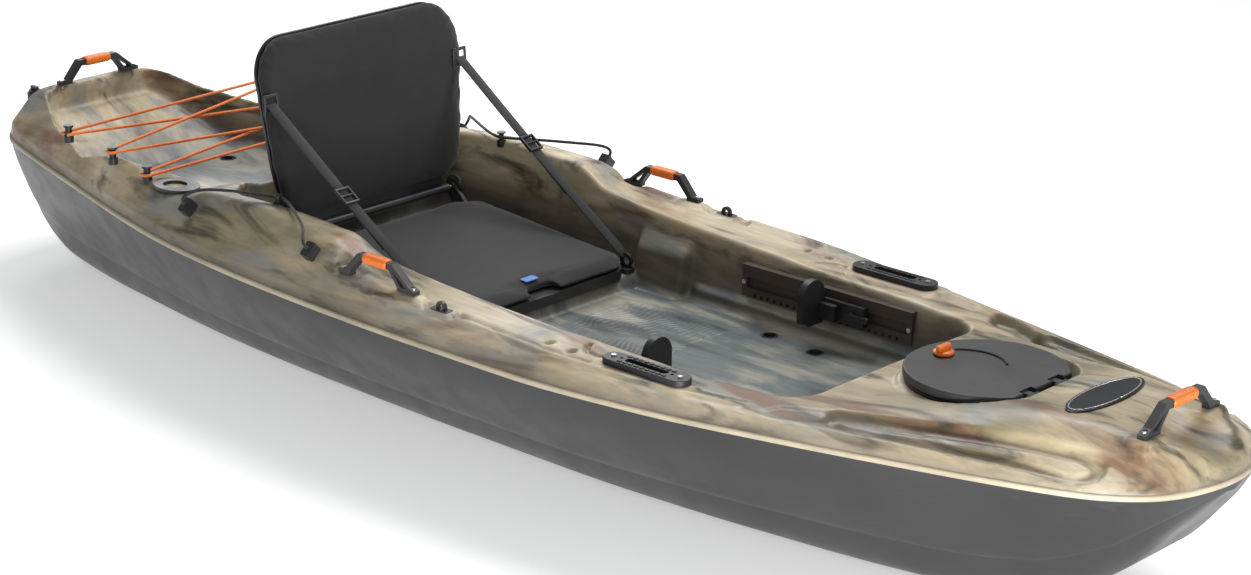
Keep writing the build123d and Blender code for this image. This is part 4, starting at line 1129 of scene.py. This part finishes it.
def add_plate_ribs():
    """Raised ribs along the two gear plates."""
    for side, side_name in ((-1, "starboard"), (1, "port")):
        low, high = (Vector(c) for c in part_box(side_name + "_gear_plate"))
        middle = (low + high) / 2
        ribs = []
        for row in (-0.0135, 0.0135):
            for i in range(9):
                x = middle.x + (i - 4) * 0.0125
                ribs.append(rounded_box("rib", (x, middle.y + row, high.z + 0.0004), (0.0082, 0.0060, 0.0024),
                                        BLACK, radius=0.0010, segments=2))
        ribs_piece = join(ribs, side_name + "_plate_ribs")
        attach(ribs_piece, "hull")


def add_peg_ribs():
    """Tread ribs on the foot pegs' faces."""
    for side, side_name in ((-1, "starboard"), (1, "port")):
        low, high = (Vector(c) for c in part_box(side_name + "_foot_peg"))
        ribs = []
        for i in range(5):
            z = low.z + 0.016 + i * 0.0130
            width = 0.052 - 0.004 * abs(i - 1.5)
            ribs.append(rounded_box("rib", (low.x - 0.0008, side * 0.212, z), (0.0030, width, 0.0034), BLACK,
                                    radius=0.0012, segments=2))
        tread = join(ribs, side_name + "_peg_tread")
        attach(tread, side_name + "_foot_peg")


def add_badge_ring():
    """A plain raised rim round the blank bow badge."""
    low, high = (Vector(c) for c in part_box("bow_badge"))
    centre = (low + high) / 2
    route = []
    for i in range(73):
        angle = 2 * math.pi * i / 72
        route.append((centre.x + (high.x - low.x) / 2 * 0.86 * math.cos(angle),
                      centre.y + (high.y - low.y) / 2 * 0.92 * math.sin(angle), high.z + 0.0001))
    ring = sweep_band("badge_rim", route, (0, 0, 1), 0.0016, 0.0016, STEEL)
    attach(ring, "hull")


add_grips()
add_hatch_details()
add_plate_ribs()
add_peg_ribs()
add_badge_ring()

# ---------------------------------------------------------------- materials for the CAD nodes
NODE_MATERIALS = {
    "scupper_tubes": HULL_GREY, "bow_flotation_foam": FOAM, "stern_flotation_foam": FOAM, "seat_shelf_foam": FOAM,
    "bow_handle": PAD_BLACK, "stern_handle": PAD_BLACK, "starboard_handle": PAD_BLACK, "port_handle": PAD_BLACK,
    "bow_grip": ORANGE, "stern_grip": ORANGE, "starboard_grip": ORANGE, "port_grip": ORANGE,
    "handle_screws": STEEL, "hatch_rim": BLACK, "hatch_gasket": RUBBER, "hatch_lid": PAD_BLACK,
    "hatch_hinge_pins": STEEL, "hatch_knob": ORANGE, "starboard_gear_plate": BLACK, "port_gear_plate": BLACK,
    "gear_plate_screws": STEEL, "starboard_foot_rail": RAIL_BROWN, "port_foot_rail": RAIL_BROWN,
    "foot_rail_screws": STEEL, "starboard_foot_peg": BLACK, "port_foot_peg": BLACK,
    "starboard_peg_latch": BLACK, "port_peg_latch": BLACK, "starboard_rod_holder": BLACK,
    "port_rod_holder": BLACK, "lacing_eyes": BLACK, "pad_eyes": BLACK, "keeper_anchors": BLACK,
    "keeper_hooks": BLACK, "bow_badge": BADGE, "drain_socket": BLACK, "drain_plug": BLACK, "seat_pan": BLACK,
    "seat_cushion": COVER, "seat_tab": BLUE, "seat_back_panel": BLACK, "seat_back_cushion": COVER,
    "seat_hinge_rod": STEEL, "strap_loops": BLACK, "starboard_seat_strap": WEBBING, "port_seat_strap": WEBBING,
    "starboard_strap_buckle": BLACK, "port_strap_buckle": BLACK,
}
PLAIN_EDGE = 0.0008
EDGE_WIDTHS = {
    "bow_handle": 0.0022, "stern_handle": 0.0022, "starboard_handle": 0.0022, "port_handle": 0.0022,
    "hatch_lid": 0.0028, "hatch_rim": 0.0012, "hatch_knob": 0.0015, "starboard_gear_plate": 0.0022,
    "port_gear_plate": 0.0022, "bow_badge": 0.0008, "seat_pan": 0.003, "seat_back_panel": 0.0016,
}


def finish_nodes():
    for name, material in NODE_MATERIALS.items():
        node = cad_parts[name]
        node.data.materials.clear()
        node.data.materials.append(material)
        soften(node, EDGE_WIDTHS.get(name, PLAIN_EDGE))


finish_nodes()

# ---------------------------------------------------------------- floor and light
def add_stage():
    floor_material, _, shader = new_material("floor", (0.80, 0.80, 0.80), 0.9, 0.1)
    shader.inputs["Emission Color"].default_value = (1, 1, 1, 1)
    shader.inputs["Emission Strength"].default_value = 0.42
    mesh = bpy.data.meshes.new("floor")
    half = 14.0
    mesh.from_pydata([(-half, -half, -0.0005), (half, -half, -0.0005), (half, half, -0.0005),
                      (-half, half, -0.0005)], [], [(0, 1, 2, 3)])
    floor = bpy.data.objects.new("floor", mesh)
    bpy.context.collection.objects.link(floor)
    floor.data.materials.append(floor_material)


def add_light(name, place, target, size, power):
    """A soft box that the camera itself does not see."""
    data = bpy.data.lights.new(name, "AREA")
    data.shape = "RECTANGLE"
    data.size, data.size_y = size
    data.energy = power
    lamp = bpy.data.objects.new(name, data)
    bpy.context.collection.objects.link(lamp)
    lamp.location = place
    lamp.visible_camera = False
    lamp.rotation_euler = (Vector(target) - Vector(place)).to_track_quat("-Z", "Y").to_euler()


add_stage()
add_light("overhead", (-0.4, 1.5, 3.2), (0, 0, 0), (3.4, 1.2), 112)
add_light("front", (2.6, -3.4, 2.4), (0.3, 0, 0.2), (1.6, 1.0), 20)
add_light("bow_side", (4.6, 2.0, 1.2), (0.9, 0, 0.2), (1.6, 1.0), 36)
add_light("behind", (-3.2, 2.4, 1.6), (0, 0, 0.2), (2.2, 1.0), 30)
add_light("low_bow", (2.3, -1.5, 0.12), (1.0, -0.1, 0.10), (1.8, 0.25), 55)

world = bpy.data.worlds.new("studio")
bpy.context.scene.world = world
world.use_nodes = True
world.node_tree.nodes["Background"].inputs["Color"].default_value = (0.95, 0.97, 1.0, 1)
world.node_tree.nodes["Background"].inputs["Strength"].default_value = 0.36
bpy.context.scene.view_settings.view_transform = "Standard"
